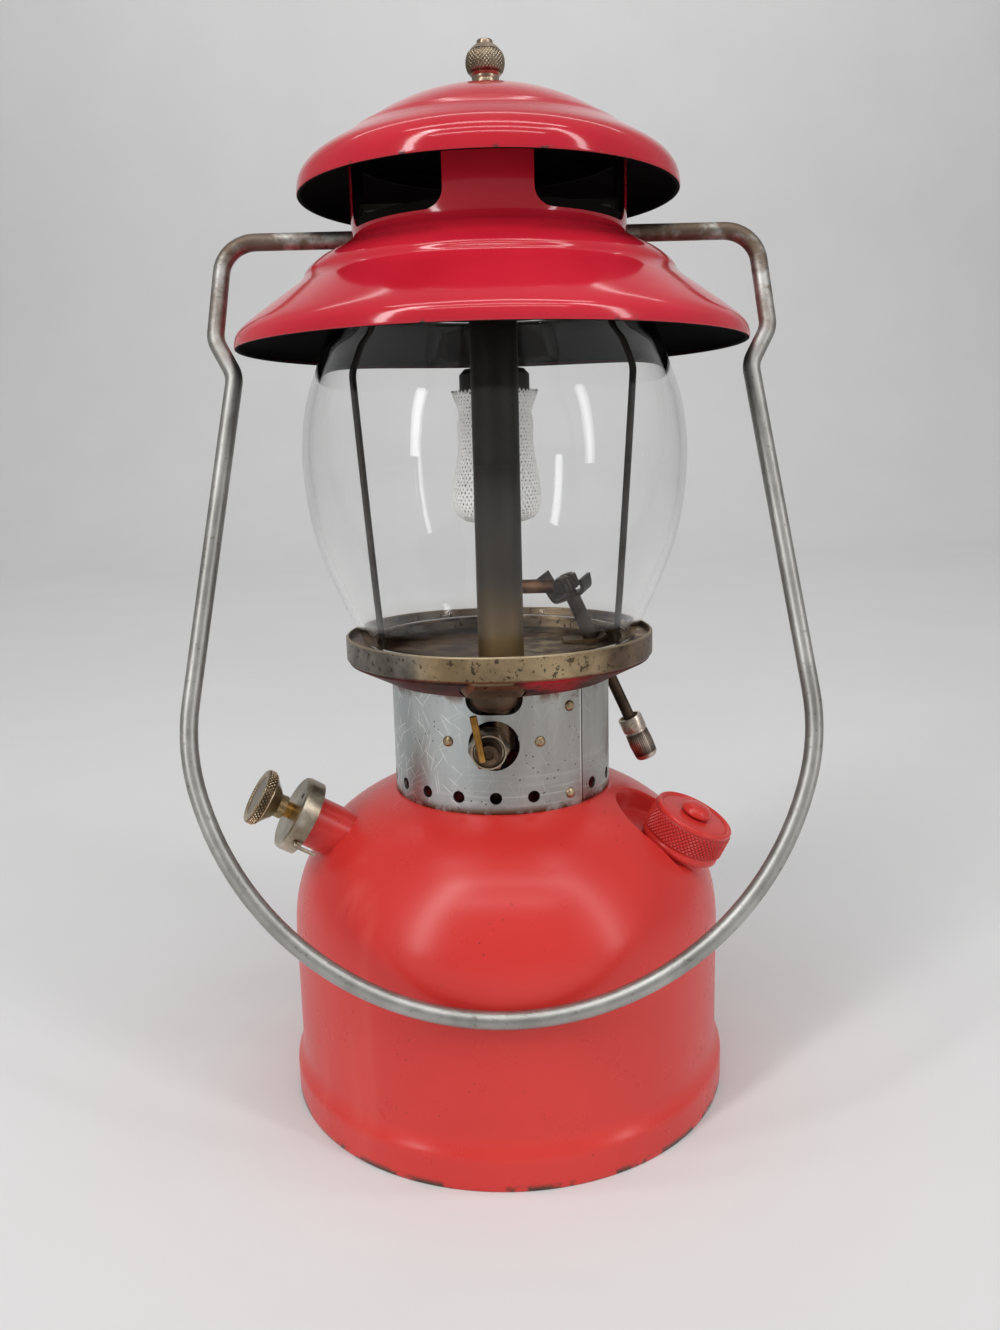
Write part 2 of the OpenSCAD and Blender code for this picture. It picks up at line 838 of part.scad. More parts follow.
module frame_bridge() {
    color("#3a322c")
        difference() {
            union() {
                translate([-ear_out, -ear_half, bridge_low])
                    cube([2 * ear_out, 2 * ear_half, bridge_t]);
                for (x = [-ear_out, ear_in])
                    translate([x, -ear_half, ear_foot])
                        cube([ear_out - ear_in, 2 * ear_half, bridge_low + bridge_t - ear_foot]);
            }
            translate([0, 0, bail_z])
                rotate([0, 90, 0])
                    bar(bail_d / 2 + run_fit, -ear_out - 1, ear_out + 1);
            bar(stud_d / 2 + fit, bridge_low - 1, bridge_low + bridge_t + 1);
        }
}

module centre_stud() {
    color("#6a6258") {
        bar(stud_d / 2 + 1.6, bridge_low - 2.2, bridge_low);
        bar(stud_d / 2, bridge_low, stud_top);
    }
}

// Burner

module air_tube() {
    color("#3f352c")
        at_tube() {
            pipe(tube_r, tube_r - tube_t, floor_under, tube_top);
            pipe(tube_r + 1.6, tube_r - tube_t, floor_z, floor_z + 1.2);
        }
}

module generator() {
    color("#7d6238")
        at_tube()
            pipe(gen_d / 2, gen_d / 2 - 1.3, outlet_top, jet_low);
}

module jet_tip() {
    color("#b5914c")
        at_tube() {
            translate([0, 0, jet_low])
                cylinder(r = 3.2, h = 3, $fn = 6);
            translate([0, 0, jet_low + 3])
                cylinder(r1 = 2, r2 = 1.2, h = 3);
        }
}

module manifold() {
    color("#3f352c") {
        translate([burner_x, -bend_r, tube_top])
            rotate([90, 0, 90])
                rotate_extrude(angle = 180)
                    translate([bend_r, 0])
                        difference() {
                            circle(r = tube_r);
                            circle(r = tube_r - tube_t);
                        }
        at_burner()
            pipe(tube_r, tube_r - tube_t, burner_top, tube_top);
    }
}

module burner_cap() {
    wall_in = burner_r - 1.4;
    color("#5a4c3c")
        at_burner()
            rotate_extrude()
                polygon([[tube_r - tube_t, burner_top], [burner_r - 1.5, burner_top],
                    [burner_r, burner_top - 1.5], [burner_r, tie_z + 1.2],
                    [burner_r - 0.6, tie_z + 0.6], [burner_r - 0.6, tie_z - 0.6],
                    [burner_r, tie_z - 1.2], [burner_r, burner_low], [wall_in, burner_low],
                    [wall_in, burner_top - 2.2], [wall_in - 0.8, burner_top - 1.2],
                    [tube_r - tube_t, burner_top - 1.2]]);
}

module mantle() {
    tie_r = burner_r + 0.2;
    low = mantle_top - mantle_h;
    function down(s) = mantle_top - s * mantle_h;
    run = [[mantle_r - 0.4, mantle_top], [tie_r + 1.5, mantle_top - 3],
        [tie_r + 0.6, mantle_top - 5], [tie_r + 0.3, tie_z], [tie_r + 0.8, tie_z - 2.4],
        [tie_r + 0.7, down(0.354)], [tie_r + 1.1, down(0.481)], [mantle_r - 0.8, down(0.633)],
        [mantle_r, down(0.785)], [mantle_r - 0.3, down(0.886)], [mantle_r - 1.9, low + 1.8],
        [mantle_r * 0.6, low + 0.4], [0, low]];
    color("#f2f0ea")
        at_burner()
            rotate_extrude()
                polygon(sheet(smooth(run, 3), mantle_t));
}

// Globe

// Shares of the swell and of the height, from the mouth down to the foot
function upper(s, h) = [globe_mouth_r + s * (globe_r - globe_mouth_r), globe_base + h * globe_h];
function lower(s, h) = [globe_foot_r + s * (globe_r - globe_foot_r), globe_base + h * globe_h];
function globe_run() = smooth([upper(0, 1), upper(0.35, 0.8915), upper(0.664, 0.779),
    upper(0.867, 0.695), upper(0.979, 0.601), upper(1, 0.5136), lower(0.924, 0.3837),
    lower(0.745, 0.2665), lower(0.44, 0.1453), lower(0.14, 0.0465), lower(0, 0)], 4);
function glass_at(z) = glass_t + max(0, z - globe_base - 0.853 * globe_h) * 0.12;

module globe() {
    p = globe_run();
    n = len(p) - 1;
    inner = [for (i = [n:-1:0]) let (q = side_step(p, i, glass_at(p[i][1])))
        [q[0], i == 0 ? globe_top : i == n ? globe_base : q[1]]];
    color("#dfe8ea", 0.35)
        rotate_extrude()
            polygon(concat(p, inner));
}

// Ventilator

// Point of the skirt at a share of its reach and of the ventilator height
function skirt_at(s, h) = [neck_r + s * (skirt_r - neck_r), globe_top + h * vent_h];

module window(a) {
    half = neck_r * sin(27.7);
    rotate([0, 0, a])
        translate([20, 0, 0]) {
            translate([0, -half, sill_z + 5])
                cube([40, 2 * half, neck_top - 2.6 - sill_z - 5]);
            translate([0, -half + 5, sill_z])
                cube([40, 2 * half - 10, 8]);
            for (s = [-1, 1])
                translate([0, s * (half - 5), sill_z + 5])
                    rotate([0, 90, 0])
                        cylinder(r = 5, h = 40);
        }
}

module ventilator_skirt() {
    run = [[neck_r, neck_top], [neck_r, bail_z + 11], [neck_r, bail_z], skirt_at(0.0255, 0.2495),
        skirt_at(0.0765, 0.2278), skirt_at(0.1615, 0.1971), skirt_at(0.275, 0.159),
        skirt_at(0.36, 0.1193), skirt_at(0.4, 0.0904), skirt_at(0.4165, 0.0615),
        skirt_at(0.473, 0.0253), skirt_at(0.558, -0.0108), skirt_at(0.7, -0.076),
        skirt_at(0.8415, -0.141), skirt_at(0.9405, -0.1935), skirt_at(0.986, -0.228),
        skirt_at(1, -0.2604), [skirt_r, rim_z]];
    color("#c8252c")
        difference() {
            union() {
                rotate_extrude()
                    polygon(sheet(run, vent_t));
                pipe(neck_r - vent_t + 0.2, liner_in, globe_top, bail_z + 3);
                pipe(globe_mouth_r - 0.4, liner_in, globe_top, globe_top + vent_t);
            }
            for (a = [45:90:315])
                window(a);
            translate([0, 0, bail_z])
                rotate([0, 90, 0])
                    bar(bail_d / 2 + free_gap, -neck_r - 3, neck_r + 3);
        }
}

module ventilator_cap() {
    round_z = vent_top - round_r;
    top = [for (a = [4.5:4.2:36.5]) [round_r * sin(a), round_z + round_r * cos(a)]];
    function brim_at(s, fall) = [s * cap_r, vent_top - fall * cap_r];
    brim = [brim_at(0.7315, 0.2468), brim_at(0.753, 0.261), brim_at(0.802, 0.29),
        brim_at(0.847, 0.315), brim_at(0.9045, 0.346), brim_at(0.942, 0.3766),
        brim_at(0.9675, 0.407), brim_at(0.9855, 0.436), brim_at(0.9965, 0.474),
        brim_at(1, 0.524)];
    color("#c8252c")
        difference() {
            union() {
                rotate_extrude()
                    polygon(sheet(concat([[0, vent_top], [3.9, vent_top]], top, brim), vent_t));
                pipe(neck_r + 0.7, liner_in, neck_top, neck_top + 1.3);
            }
            bar(stud_d / 2 + free_gap, vent_top - 3, vent_top + 1);
        }
}

module ball_nut() {
    low = vent_top + 0.1;
    color("#a89f88")
        difference() {
            rotate_extrude()
                polygon(concat([[0, low], [3.9, low], [3.9, low + 3]],
                    [for (a = [-42:12:66]) [ball_r * cos(a), ball_z + ball_r * sin(a)]],
                    [[2.3, ball_z + ball_r + 0.25], [0, ball_z + ball_r + 0.25]]));
            bar(stud_d / 2 + run_fit, vent_top - 1, stud_top + 0.6);
        }
}

// Bail

module bail() {
    half = [[bail_in, 0], [shoulder_x, 0], kink_out, kink_in, hip];
    run = concat(half, [[0, bow_corner]],
        [for (i = [len(half) - 1:-1:0]) [-half[i][0], half[i][1]]]);
    color("#8c8a84")
        translate([0, 0, bail_z])
            rotate([-bail_rest, 0, 0])
                wire(run, [0, 10, 8, 8, hip_r, bow_r, hip_r, 8, 8, 10, 0], bail_d);
}

// Lighter

module lighter_bracket() {
    back = wheel_x - 10.9;
    top = wheel_z + 3.6;
    color("#3a322c")
        difference() {
            union() {
                translate([back, lighter_y - 5, floor_z])
                    cube([25, 10, lighter_foot_t]);
                translate([back, lighter_y - 4, floor_z])
                    cube([1.2, 8, top - floor_z]);
                translate([back, lighter_y - 4, top - 1.2])
                    cube([7, 8, 1.2]);
                at_lighter()
                    bar(guide_r, -21, -10);
            }
            at_lighter()
                bar(lighter_rod_d / 2 + run_fit, -30, -5);
            translate([back - 1, lighter_y, wheel_z])
                rotate([0, 90, 0])
                    bar(flint_r + fit, 0, 4);
            translate([0, 0, floor_z - 10])
                cube([60, 40, 10]);
        }
}

module flint_tube() {
    color("#a8683c")
        translate([0, lighter_y, wheel_z])
            rotate([0, 90, 0])
                bar(flint_r, wheel_x - 15.9, wheel_x - striker_r - 0.9);
}

module lighter_rod() {
    color("#9c917c")
        at_lighter()
            bar(lighter_rod_d / 2, knob_end + 2, 2.6);
}

module lighter_knob() {
    edge = lighter_knob_d / 2;
    color("#a79c84")
        at_lighter()
            difference() {
                rotate_extrude()
                    polygon([[0, knob_end], [edge - 1.8, knob_end], [edge - 0.5, knob_end + 0.7],
                        [edge, knob_end + 2], [edge, knob_top - 0.6], [edge - 0.6, knob_top],
                        [edge - 0.25, knob_top + 0.2], [edge - 0.25, knob_collar],
                        [edge - 1.1, knob_collar], [edge - 1.1, knob_collar - 1],
                        [0, knob_collar - 1]]);
                bar(lighter_rod_d / 2 + fit, knob_end + 2, 0);
                translate([0, 0, (knob_top + knob_collar) / 2])
                    rotate([90, 0, 0])
                        bar(1 + fit, 0, edge + 1);
            }
}

module lighter_set_screw() {
    color("#8f866f")
        at_lighter()
            translate([0, 0, (knob_top + knob_collar) / 2])
                rotate([90, 0, 0])
                    bar(1, lighter_rod_d / 2 + 0.1, lighter_knob_d / 2 + 0.5);
}

module striker_wheel() {
    color("#5c5852")
        at_lighter()
            pipe(striker_r, lighter_rod_d / 2 + fit, -1.5, 1.5);
}

fount_shell();
fount_bottom();
filler_neck();
filler_insert();
filler_gasket();
filler_screw();
filler_cap();
pump_tube();
pump_cap();
pump_clip();
check_valve();
air_stem();
pump_rod();
pump_knob();
pump_leather();
pump_nut();
fuel_tube();
valve_boss();
valve_body();
packing_nut();
valve_stem();
valve_lever();
collar_band();
collar_rivets();
frame_ring();
frame_base();
tube_cup();
frame_wires();
frame_bridge();
centre_stud();
air_tube();
generator();
jet_tip();
manifold();
burner_cap();
mantle();
globe();
ventilator_skirt();
ventilator_cap();
ball_nut();
bail();
lighter_bracket();
flint_tube();
lighter_rod();
lighter_knob();
lighter_set_screw();
striker_wheel();
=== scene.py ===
import json
import math

import bmesh
import bpy
from mathutils import Matrix, Vector


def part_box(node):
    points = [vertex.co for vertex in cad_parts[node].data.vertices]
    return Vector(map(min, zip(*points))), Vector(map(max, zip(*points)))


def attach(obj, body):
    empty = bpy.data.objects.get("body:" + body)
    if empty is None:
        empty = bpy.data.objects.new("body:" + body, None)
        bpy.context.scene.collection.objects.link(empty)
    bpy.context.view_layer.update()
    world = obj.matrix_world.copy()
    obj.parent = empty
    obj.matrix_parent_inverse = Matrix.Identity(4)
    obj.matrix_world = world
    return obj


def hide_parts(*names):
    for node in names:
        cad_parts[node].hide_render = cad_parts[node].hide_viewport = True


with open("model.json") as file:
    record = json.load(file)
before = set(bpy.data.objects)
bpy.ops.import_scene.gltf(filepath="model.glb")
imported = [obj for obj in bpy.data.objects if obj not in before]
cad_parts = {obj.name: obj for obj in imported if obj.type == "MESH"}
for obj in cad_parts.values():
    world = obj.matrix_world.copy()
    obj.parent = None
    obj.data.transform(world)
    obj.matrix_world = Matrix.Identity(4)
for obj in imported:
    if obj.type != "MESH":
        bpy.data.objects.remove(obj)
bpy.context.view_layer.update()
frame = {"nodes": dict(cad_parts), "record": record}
nodes = frame["nodes"]
body_of = {node: body for body, held in frame["record"]["behaviour"]["bodies"].items() for node in held}

MM = 0.001


# Camera at the photograph's place

PHOTO_H = 1330
FOCAL_PX = 1083.0
SENSOR = 36.0
CAMERA_AT = (0.0, -0.338, 0.204)
CAMERA_PITCH = 11.35
CAMERA_ROLL = -1.42

camera_data = bpy.data.cameras.new("camera")
camera_data.sensor_fit = "AUTO"
camera_data.sensor_width = SENSOR
camera_data.lens = FOCAL_PX / PHOTO_H * SENSOR
camera_data.clip_start = 0.01
camera_data.clip_end = 50.0
camera = bpy.data.objects.new("camera", camera_data)
bpy.context.scene.collection.objects.link(camera)
aim = Matrix.Rotation(math.radians(90.0 - CAMERA_PITCH), 4, "X")
roll = Matrix.Rotation(math.radians(CAMERA_ROLL), 4, "Z")
camera.matrix_world = Matrix.Translation(CAMERA_AT) @ aim @ roll
bpy.context.scene.camera = camera
bpy.context.scene.view_settings.view_transform = "Standard"


# Places with their own axes, in millimetres

def turned(degrees, axis):
    return Matrix.Rotation(math.radians(degrees), 4, axis)


def polar(radius, degrees, height):
    a = math.radians(degrees)
    return Matrix.Translation((radius * math.cos(a), radius * math.sin(a), height))


FILLER_AZ, FILLER_LEAN = -18.7, 26.0
PUMP_AZ, PUMP_LEAN = 195.5, 58.0
LIGHTER_Y, LIGHTER_LEAN = 14.0, -24.0
CUP_X, CUP_Y = -2.0, -29.5
BALL_Z = 312.0
VALVE_Z = 119.03
COLLAR_R = 34.3
SEAM_AZ = 43.7
NO_MOVE = Matrix()
FRONT_ON = turned(90.0, "X")
SIDE_ON = Matrix(((0, 0, 1, 0), (1, 0, 0, 0), (0, 1, 0, 0), (0, 0, 0, 1)))
FILLER_AT = polar(62.4, FILLER_AZ, 92.006) @ turned(FILLER_AZ, "Z") @ turned(FILLER_LEAN, "Y")
PUMP_AT = polar(78.3, PUMP_AZ, 101.742) @ turned(PUMP_AZ, "Z") @ turned(PUMP_LEAN, "Y")
LIGHTER_AT = Matrix.Translation((22.9, LIGHTER_Y, 159.427)) @ turned(LIGHTER_LEAN, "Y")
BURNER_AT = Matrix.Translation((0.4, 0.0, 0.0))
CUP_AT = Matrix.Translation((CUP_X, CUP_Y, 0.0))
BALL_AT = Matrix.Translation((0.0, 0.0, BALL_Z))
VALVE_AT = Matrix.Translation((-3.8, 0.0, VALVE_Z)) @ FRONT_ON


# Material helper

class Finish:
    """One material with short calls for its texture nodes."""

    def __init__(self, name, metallic=0.0, roughness=0.5, **sockets):
        self.material = bpy.data.materials.new(name)
        self.material.use_nodes = True
        self.tree = self.material.node_tree
        self.shader = self.tree.nodes["Principled BSDF"]
        self.shader.inputs["Metallic"].default_value = metallic
        self.shader.inputs["Roughness"].default_value = roughness
        for key, value in sockets.items():
            self.shader.inputs[key.replace("_", " ")].default_value = value
        self.place = self.node("ShaderNodeTexCoord").outputs["Object"]
        self.bumps = None

    def node(self, kind):
        return self.tree.nodes.new(kind)

    def feed(self, socket, value):
        if isinstance(value, (int, float)):
            socket.default_value = value
        elif isinstance(value, tuple):
            socket.default_value = (*value, 1.0) if len(value) == 3 else value
        else:
            self.tree.links.new(value, socket)

    def stretch(self, scale, shift):
        made = self.node("ShaderNodeMapping")
        self.tree.links.new(self.place, made.inputs["Vector"])
        made.inputs["Scale"].default_value = scale
        made.inputs["Location"].default_value = shift
        return made.outputs["Vector"]

    def noise(self, scale, detail=4.0, rough=0.55, along=(1, 1, 1), shift=(0, 0, 0), warp=0.0):
        made = self.node("ShaderNodeTexNoise")
        self.tree.links.new(self.stretch(along, shift), made.inputs["Vector"])
        made.inputs["Scale"].default_value = scale
        made.inputs["Detail"].default_value = detail
        made.inputs["Roughness"].default_value = rough
        made.inputs["Distortion"].default_value = warp
        return made.outputs["Fac"]

    def cells(self, scale):
        made = self.node("ShaderNodeTexVoronoi")
        self.tree.links.new(self.place, made.inputs["Vector"])
        made.inputs["Scale"].default_value = scale
        return made.outputs["Distance"]

    def math(self, how, a, b=0.0):
        made = self.node("ShaderNodeMath")
        made.operation = how
        self.feed(made.inputs[0], a)
        self.feed(made.inputs[1], b)
        return made.outputs[0]

    def step(self, value, low, high):
        made = self.node("ShaderNodeMapRange")
        made.interpolation_type = "SMOOTHSTEP"
        self.feed(made.inputs["Value"], value)
        made.inputs["From Min"].default_value = low
        made.inputs["From Max"].default_value = high
        return made.outputs["Result"]

    def ranged(self, value, low, high):
        made = self.node("ShaderNodeMapRange")
        self.feed(made.inputs["Value"], value)
        made.inputs["To Min"].default_value = low
        made.inputs["To Max"].default_value = high
        return made.outputs["Result"]

    def mix(self, amount, a, b):
        made = self.node("ShaderNodeMix")
        made.data_type = "RGBA"
        self.feed(made.inputs["Factor"], amount)
        self.feed(made.inputs[6], a)
        self.feed(made.inputs[7], b)
        return made.outputs[2]

    def xyz(self):
        made = self.node("ShaderNodeSeparateXYZ")
        self.tree.links.new(self.place, made.inputs[0])
        return made.outputs

    def radius(self):
        x, y, _ = self.xyz()
        return self.math("SQRT", self.math("ADD", self.math("MULTIPLY", x, x), self.math("MULTIPLY", y, y)))

    def groove(self, place, valley, peak, low, high, ball=False):
        """1 in the valleys of a knurl between two heights on a place's own axis."""
        edge = 0.2
        made = self.node("ShaderNodeMapping")
        made.vector_type = "TEXTURE"
        self.tree.links.new(self.place, made.inputs["Vector"])
        made.inputs["Location"].default_value = place.translation * MM
        made.inputs["Rotation"].default_value = place.to_euler()
        parts = self.node("ShaderNodeSeparateXYZ")
        self.tree.links.new(made.outputs["Vector"], parts.inputs[0])
        x, y, z = parts.outputs
        reach = self.math("ADD", self.math("MULTIPLY", x, x), self.math("MULTIPLY", y, y))
        if ball:
            reach = self.math("ADD", reach, self.math("MULTIPLY", z, z))
        deep = self.step(self.math("SQRT", reach), peak * MM, valley * MM)
        above = self.step(z, low * MM, (low + edge) * MM)
        below = self.step(z, high * MM, (high - edge) * MM)
        return self.math("MULTIPLY", deep, self.math("MULTIPLY", above, below))

    def scratches(self, across, up, cell, lean, width, shift):
        """Thin straight marks of one direction on an unrolled wall."""
        flat = self.node("ShaderNodeCombineXYZ")
        self.feed(flat.inputs[0], across)
        self.feed(flat.inputs[1], up)
        made = self.node("ShaderNodeMapping")
        made.vector_type = "TEXTURE"
        self.tree.links.new(flat.outputs[0], made.inputs["Vector"])
        made.inputs["Location"].default_value = (shift, shift, 0.0)
        made.inputs["Rotation"].default_value = (0.0, 0.0, math.radians(lean))
        made.inputs["Scale"].default_value = (*cell, 1.0)
        marks = self.node("ShaderNodeTexVoronoi")
        marks.voronoi_dimensions = "2D"
        marks.inputs["Scale"].default_value = 1.0
        self.tree.links.new(made.outputs["Vector"], marks.inputs["Vector"])
        return self.step(marks.outputs["Distance"], width, width * 0.4)

    def facing_out(self):
        """How far a face looks out from the lantern axis or up, below 0 on an inside."""
        x, y, z = self.xyz()
        flat = self.node("ShaderNodeCombineXYZ")
        self.tree.links.new(x, flat.inputs[0])
        self.tree.links.new(y, flat.inputs[1])
        unit = self.node("ShaderNodeVectorMath")
        unit.operation = "NORMALIZE"
        self.tree.links.new(flat.outputs[0], unit.inputs[0])
        lift = self.node("ShaderNodeVectorMath")
        lift.operation = "ADD"
        self.tree.links.new(unit.outputs[0], lift.inputs[0])
        lift.inputs[1].default_value = (0, 0, 1)
        dot = self.node("ShaderNodeVectorMath")
        dot.operation = "DOT_PRODUCT"
        self.tree.links.new(lift.outputs[0], dot.inputs[0])
        self.tree.links.new(self.node("ShaderNodeNewGeometry").outputs["Normal"], dot.inputs[1])
        return dot.outputs["Value"]

    def set(self, socket, value):
        self.feed(self.shader.inputs[socket], value)

    def bump(self, height, strength=0.3, distance=0.0005):
        made = self.node("ShaderNodeBump")
        made.inputs["Strength"].default_value = strength
        made.inputs["Distance"].default_value = distance
        self.tree.links.new(height, made.inputs["Height"])
        if self.bumps is not None:
            self.tree.links.new(self.bumps, made.inputs["Normal"])
        self.bumps = made.outputs["Normal"]
        self.tree.links.new(self.bumps, self.shader.inputs["Normal"])


# Finishes

def enamel(name, edge_z):
    """Glossy red enamel with a black inside and a few chips along the rim."""
    f = Finish(name, Coat_Roughness=0.04)
    inside = f.step(f.facing_out(), 0.02, -0.05)
    outside = f.math("SUBTRACT", 1.0, inside)
    red = f.mix(f.step(f.noise(14, 3), 0.35, 0.7), (0.47, 0.010, 0.024), (0.57, 0.018, 0.036))
    near = f.step(f.xyz()[2], edge_z + 1.3 * MM, edge_z + 0.1 * MM)
    chips = f.math("MULTIPLY", near, f.step(f.noise(240, 5, 0.6), 0.60, 0.64))
    red = f.mix(chips, red, (0.06, 0.035, 0.03))
    f.set("Base Color", f.mix(inside, red, (0.004, 0.004, 0.004)))
    f.set("Coat Weight", f.math("MULTIPLY", outside, 0.15))
    f.set("Specular IOR Level", f.ranged(outside, 0.03, 0.38))
    f.set("Roughness", f.math("ADD", f.ranged(f.noise(60, 5), 0.07, 0.17), f.math("MULTIPLY", inside, 0.6)))
    f.bump(f.noise(150, 2), 0.02, 0.0004)
    f.bump(chips, 0.3, -0.0002)
    return f.material


def fount_paint(name, knurl=None):
    """Semi-gloss red paint, rubbed paler in places, worn through at the foot."""
    f = Finish(name, Coat_Weight=0.06, Coat_Roughness=0.2, Specular_IOR_Level=0.36)
    x, _y, z = f.xyz()
    red = f.mix(f.step(f.noise(9, 3), 0.3, 0.7), (0.60, 0.030, 0.026), (0.68, 0.044, 0.036))
    streak = f.step(f.noise(60, 4, along=(1, 1, 0.06)), 0.55, 0.72)
    left = f.step(x, -5 * MM, -60 * MM)
    red = f.mix(f.math("MULTIPLY", f.math("MULTIPLY", streak, left), 0.35), red, (0.74, 0.13, 0.10))
    specks = f.step(f.cells(330), 0.12, 0.05)
    some = f.step(f.noise(25, 3, shift=(3, 1, 2)), 0.55, 0.65)
    red = f.mix(f.math("MULTIPLY", specks, some), red, (0.22, 0.02, 0.018))
    low = f.step(z, 2.6 * MM, 0.4 * MM)
    bare = f.math("MULTIPLY", low, f.step(f.noise(110, 5, 0.65), 0.44, 0.52))
    # Painted shade: the valleys of a knurl in a darker copy of the red
    if knurl:
        red = f.mix(f.math("MULTIPLY", f.groove(*knurl), 0.75), red, (0.24, 0.008, 0.008))
    f.set("Base Color", f.mix(bare, red, (0.05, 0.03, 0.018)))
    scuffs = f.step(f.noise(300, 3, along=(0.08, 1, 1)), 0.66, 0.72)
    f.set("Roughness", f.math("ADD", f.ranged(f.noise(70, 6), 0.22, 0.36), f.math("MULTIPLY", scuffs, 0.12)))
    f.bump(f.noise(120, 3), 0.04, 0.0004)
    f.bump(bare, 0.25, -0.0002)
    return f.material


def collar_steel(name):
    """Plated band: pale and scratched at the left, duller at the right, with a painted highlight line and a
    painted shadow line along the lap seam.
    """
    f = Finish(name, metallic=1.0)
    x, y, z = f.xyz()
    streak = f.noise(42, 5, along=(1, 1, 0.12))
    pale = f.mix(f.step(streak, 0.3, 0.72), (0.36, 0.385, 0.385), (0.56, 0.59, 0.585))
    dull_side = f.mix(f.step(streak, 0.3, 0.72), (0.25, 0.24, 0.22), (0.42, 0.41, 0.385))
    drift = f.math("ADD", x, f.math("MULTIPLY", f.math("SUBTRACT", f.noise(30, 3), 0.5), 22 * MM))
    base = f.mix(f.step(drift, -13 * MM, 9 * MM), pale, dull_side)
    brushed = f.step(f.noise(300, 3, along=(0.1, 0.1, 2.5)), 0.5, 0.66)
    lower = f.step(z, 118 * MM, 103 * MM)
    base = f.mix(f.math("MULTIPLY", f.math("MULTIPLY", brushed, lower), 0.5), base, (0.60, 0.60, 0.585))
    turn = f.math("ARCTAN2", x, f.math("MULTIPLY", y, -1.0))
    round_wall = f.math("MULTIPLY", turn, COLLAR_R * MM)
    scratch_side = f.ranged(f.step(x, -9 * MM, -20 * MM), 0.12, 0.9)
    for i in range(6):
        cell = ((1.1 + 0.25 * i) * MM, (70 - 6 * i) * MM)
        lines = f.scratches(round_wall, z, cell, -62 + 23 * i, 0.085, 0.0137 * i)
        base = f.mix(f.math("MULTIPLY", lines, scratch_side), base, (0.90, 0.90, 0.875))
    specks = f.math("MULTIPLY", f.step(f.cells(520), 0.2, 0.1), f.step(f.noise(60, 4), 0.46, 0.6))
    base = f.mix(f.math("MULTIPLY", specks, 0.8), base, (0.07, 0.05, 0.035))
    # Painted highlight and painted shadow: a thin pale line on the lap seam and a dark line just past it
    seam = f.math("SUBTRACT", turn, math.radians(SEAM_AZ))
    base = f.mix(f.step(f.math("ABSOLUTE", seam), 0.016, 0.006), base, (0.78, 0.78, 0.76))
    shade = f.math("ABSOLUTE", f.math("SUBTRACT", seam, 0.022))
    base = f.mix(f.step(shade, 0.010, 0.004), base, (0.07, 0.06, 0.05))
    foot = f.math("MULTIPLY", f.step(z, 101 * MM, 98.2 * MM), f.step(f.noise(160, 5, 0.6), 0.36, 0.54))
    head = f.math("MULTIPLY", f.step(z, 130.5 * MM, 133.6 * MM), f.step(f.noise(130, 5, 0.6), 0.42, 0.58))
    rust = f.math("MAXIMUM", foot, f.math("MULTIPLY", head, 0.8))
    f.set("Base Color", f.mix(rust, base, (0.13, 0.055, 0.028)))
    f.set("Roughness", f.ranged(f.noise(90, 6, along=(1, 1, 0.3)), 0.28, 0.52))
    f.bump(f.noise(900, 2, along=(1, 1, 0.05)), 0.05, 0.0003)
    f.bump(f.noise(70, 3), 0.05, 0.0006)
    return f.material


def rim_steel(name):
    """Globe rest: grey at the left, tan in front, brown at the right, with a rusty floor and a painted
    highlight along its top edge.
    """
    f = Finish(name, metallic=0.8)
    x, _y, z = f.xyz()
    blot = f.step(f.noise(46, 6, 0.62, warp=0.4), 0.36, 0.66)
    grey = f.mix(blot, (0.095, 0.082, 0.066), (0.25, 0.225, 0.19))
    tan = f.mix(blot, (0.19, 0.135, 0.072), (0.40, 0.30, 0.175))
    brown = f.mix(blot, (0.05, 0.03, 0.02), (0.19, 0.125, 0.078))
    drift = f.math("ADD", x, f.math("MULTIPLY", f.math("SUBTRACT", f.noise(40, 4), 0.5), 16 * MM))
    base = f.mix(f.step(drift, -27 * MM, -17 * MM), grey, tan)
    base = f.mix(f.step(drift, 18 * MM, 36 * MM), base, brown)
    pits = f.step(f.noise(560, 4, 0.6), 0.57, 0.64)
    base = f.mix(f.math("MULTIPLY", pits, 0.8), base, (0.03, 0.018, 0.011))
    under = f.step(z, 141.6 * MM, 138.5 * MM)
    base = f.mix(f.math("MULTIPLY", under, 0.45), base, (0.05, 0.028, 0.018))
    # Painted highlight: a pale line along the rim's top edge stands in for its glint
    edge = f.step(z, 147.2 * MM, 147.7 * MM)
    base = f.mix(f.math("MULTIPLY", edge, 0.7), base, (0.46, 0.37, 0.25))
    within = f.math("MULTIPLY", f.step(f.radius(), 47.2 * MM, 46.6 * MM), f.step(z, 140.7 * MM, 141.0 * MM))
    patches = f.step(f.noise(70, 6, 0.65, warp=0.8), 0.38, 0.62)
    rust = f.mix(patches, (0.028, 0.013, 0.008), (0.13, 0.065, 0.032))
    bright = f.step(f.noise(120, 5, 0.6, along=(1, 1, 0.3), shift=(2, 5, 1)), 0.42, 0.7)
    share = f.ranged(f.step(x, 0.0, 14 * MM), 0.3, 1.0)
    rust = f.mix(f.math("MULTIPLY", bright, share), rust, (0.50, 0.37, 0.21))
    f.set("Base Color", f.mix(within, base, rust))
    f.set("Roughness", f.ranged(f.noise(140, 5), 0.28, 0.6))
    f.bump(f.noise(420, 5, 0.6), 0.18, 0.0004)
    return f.material


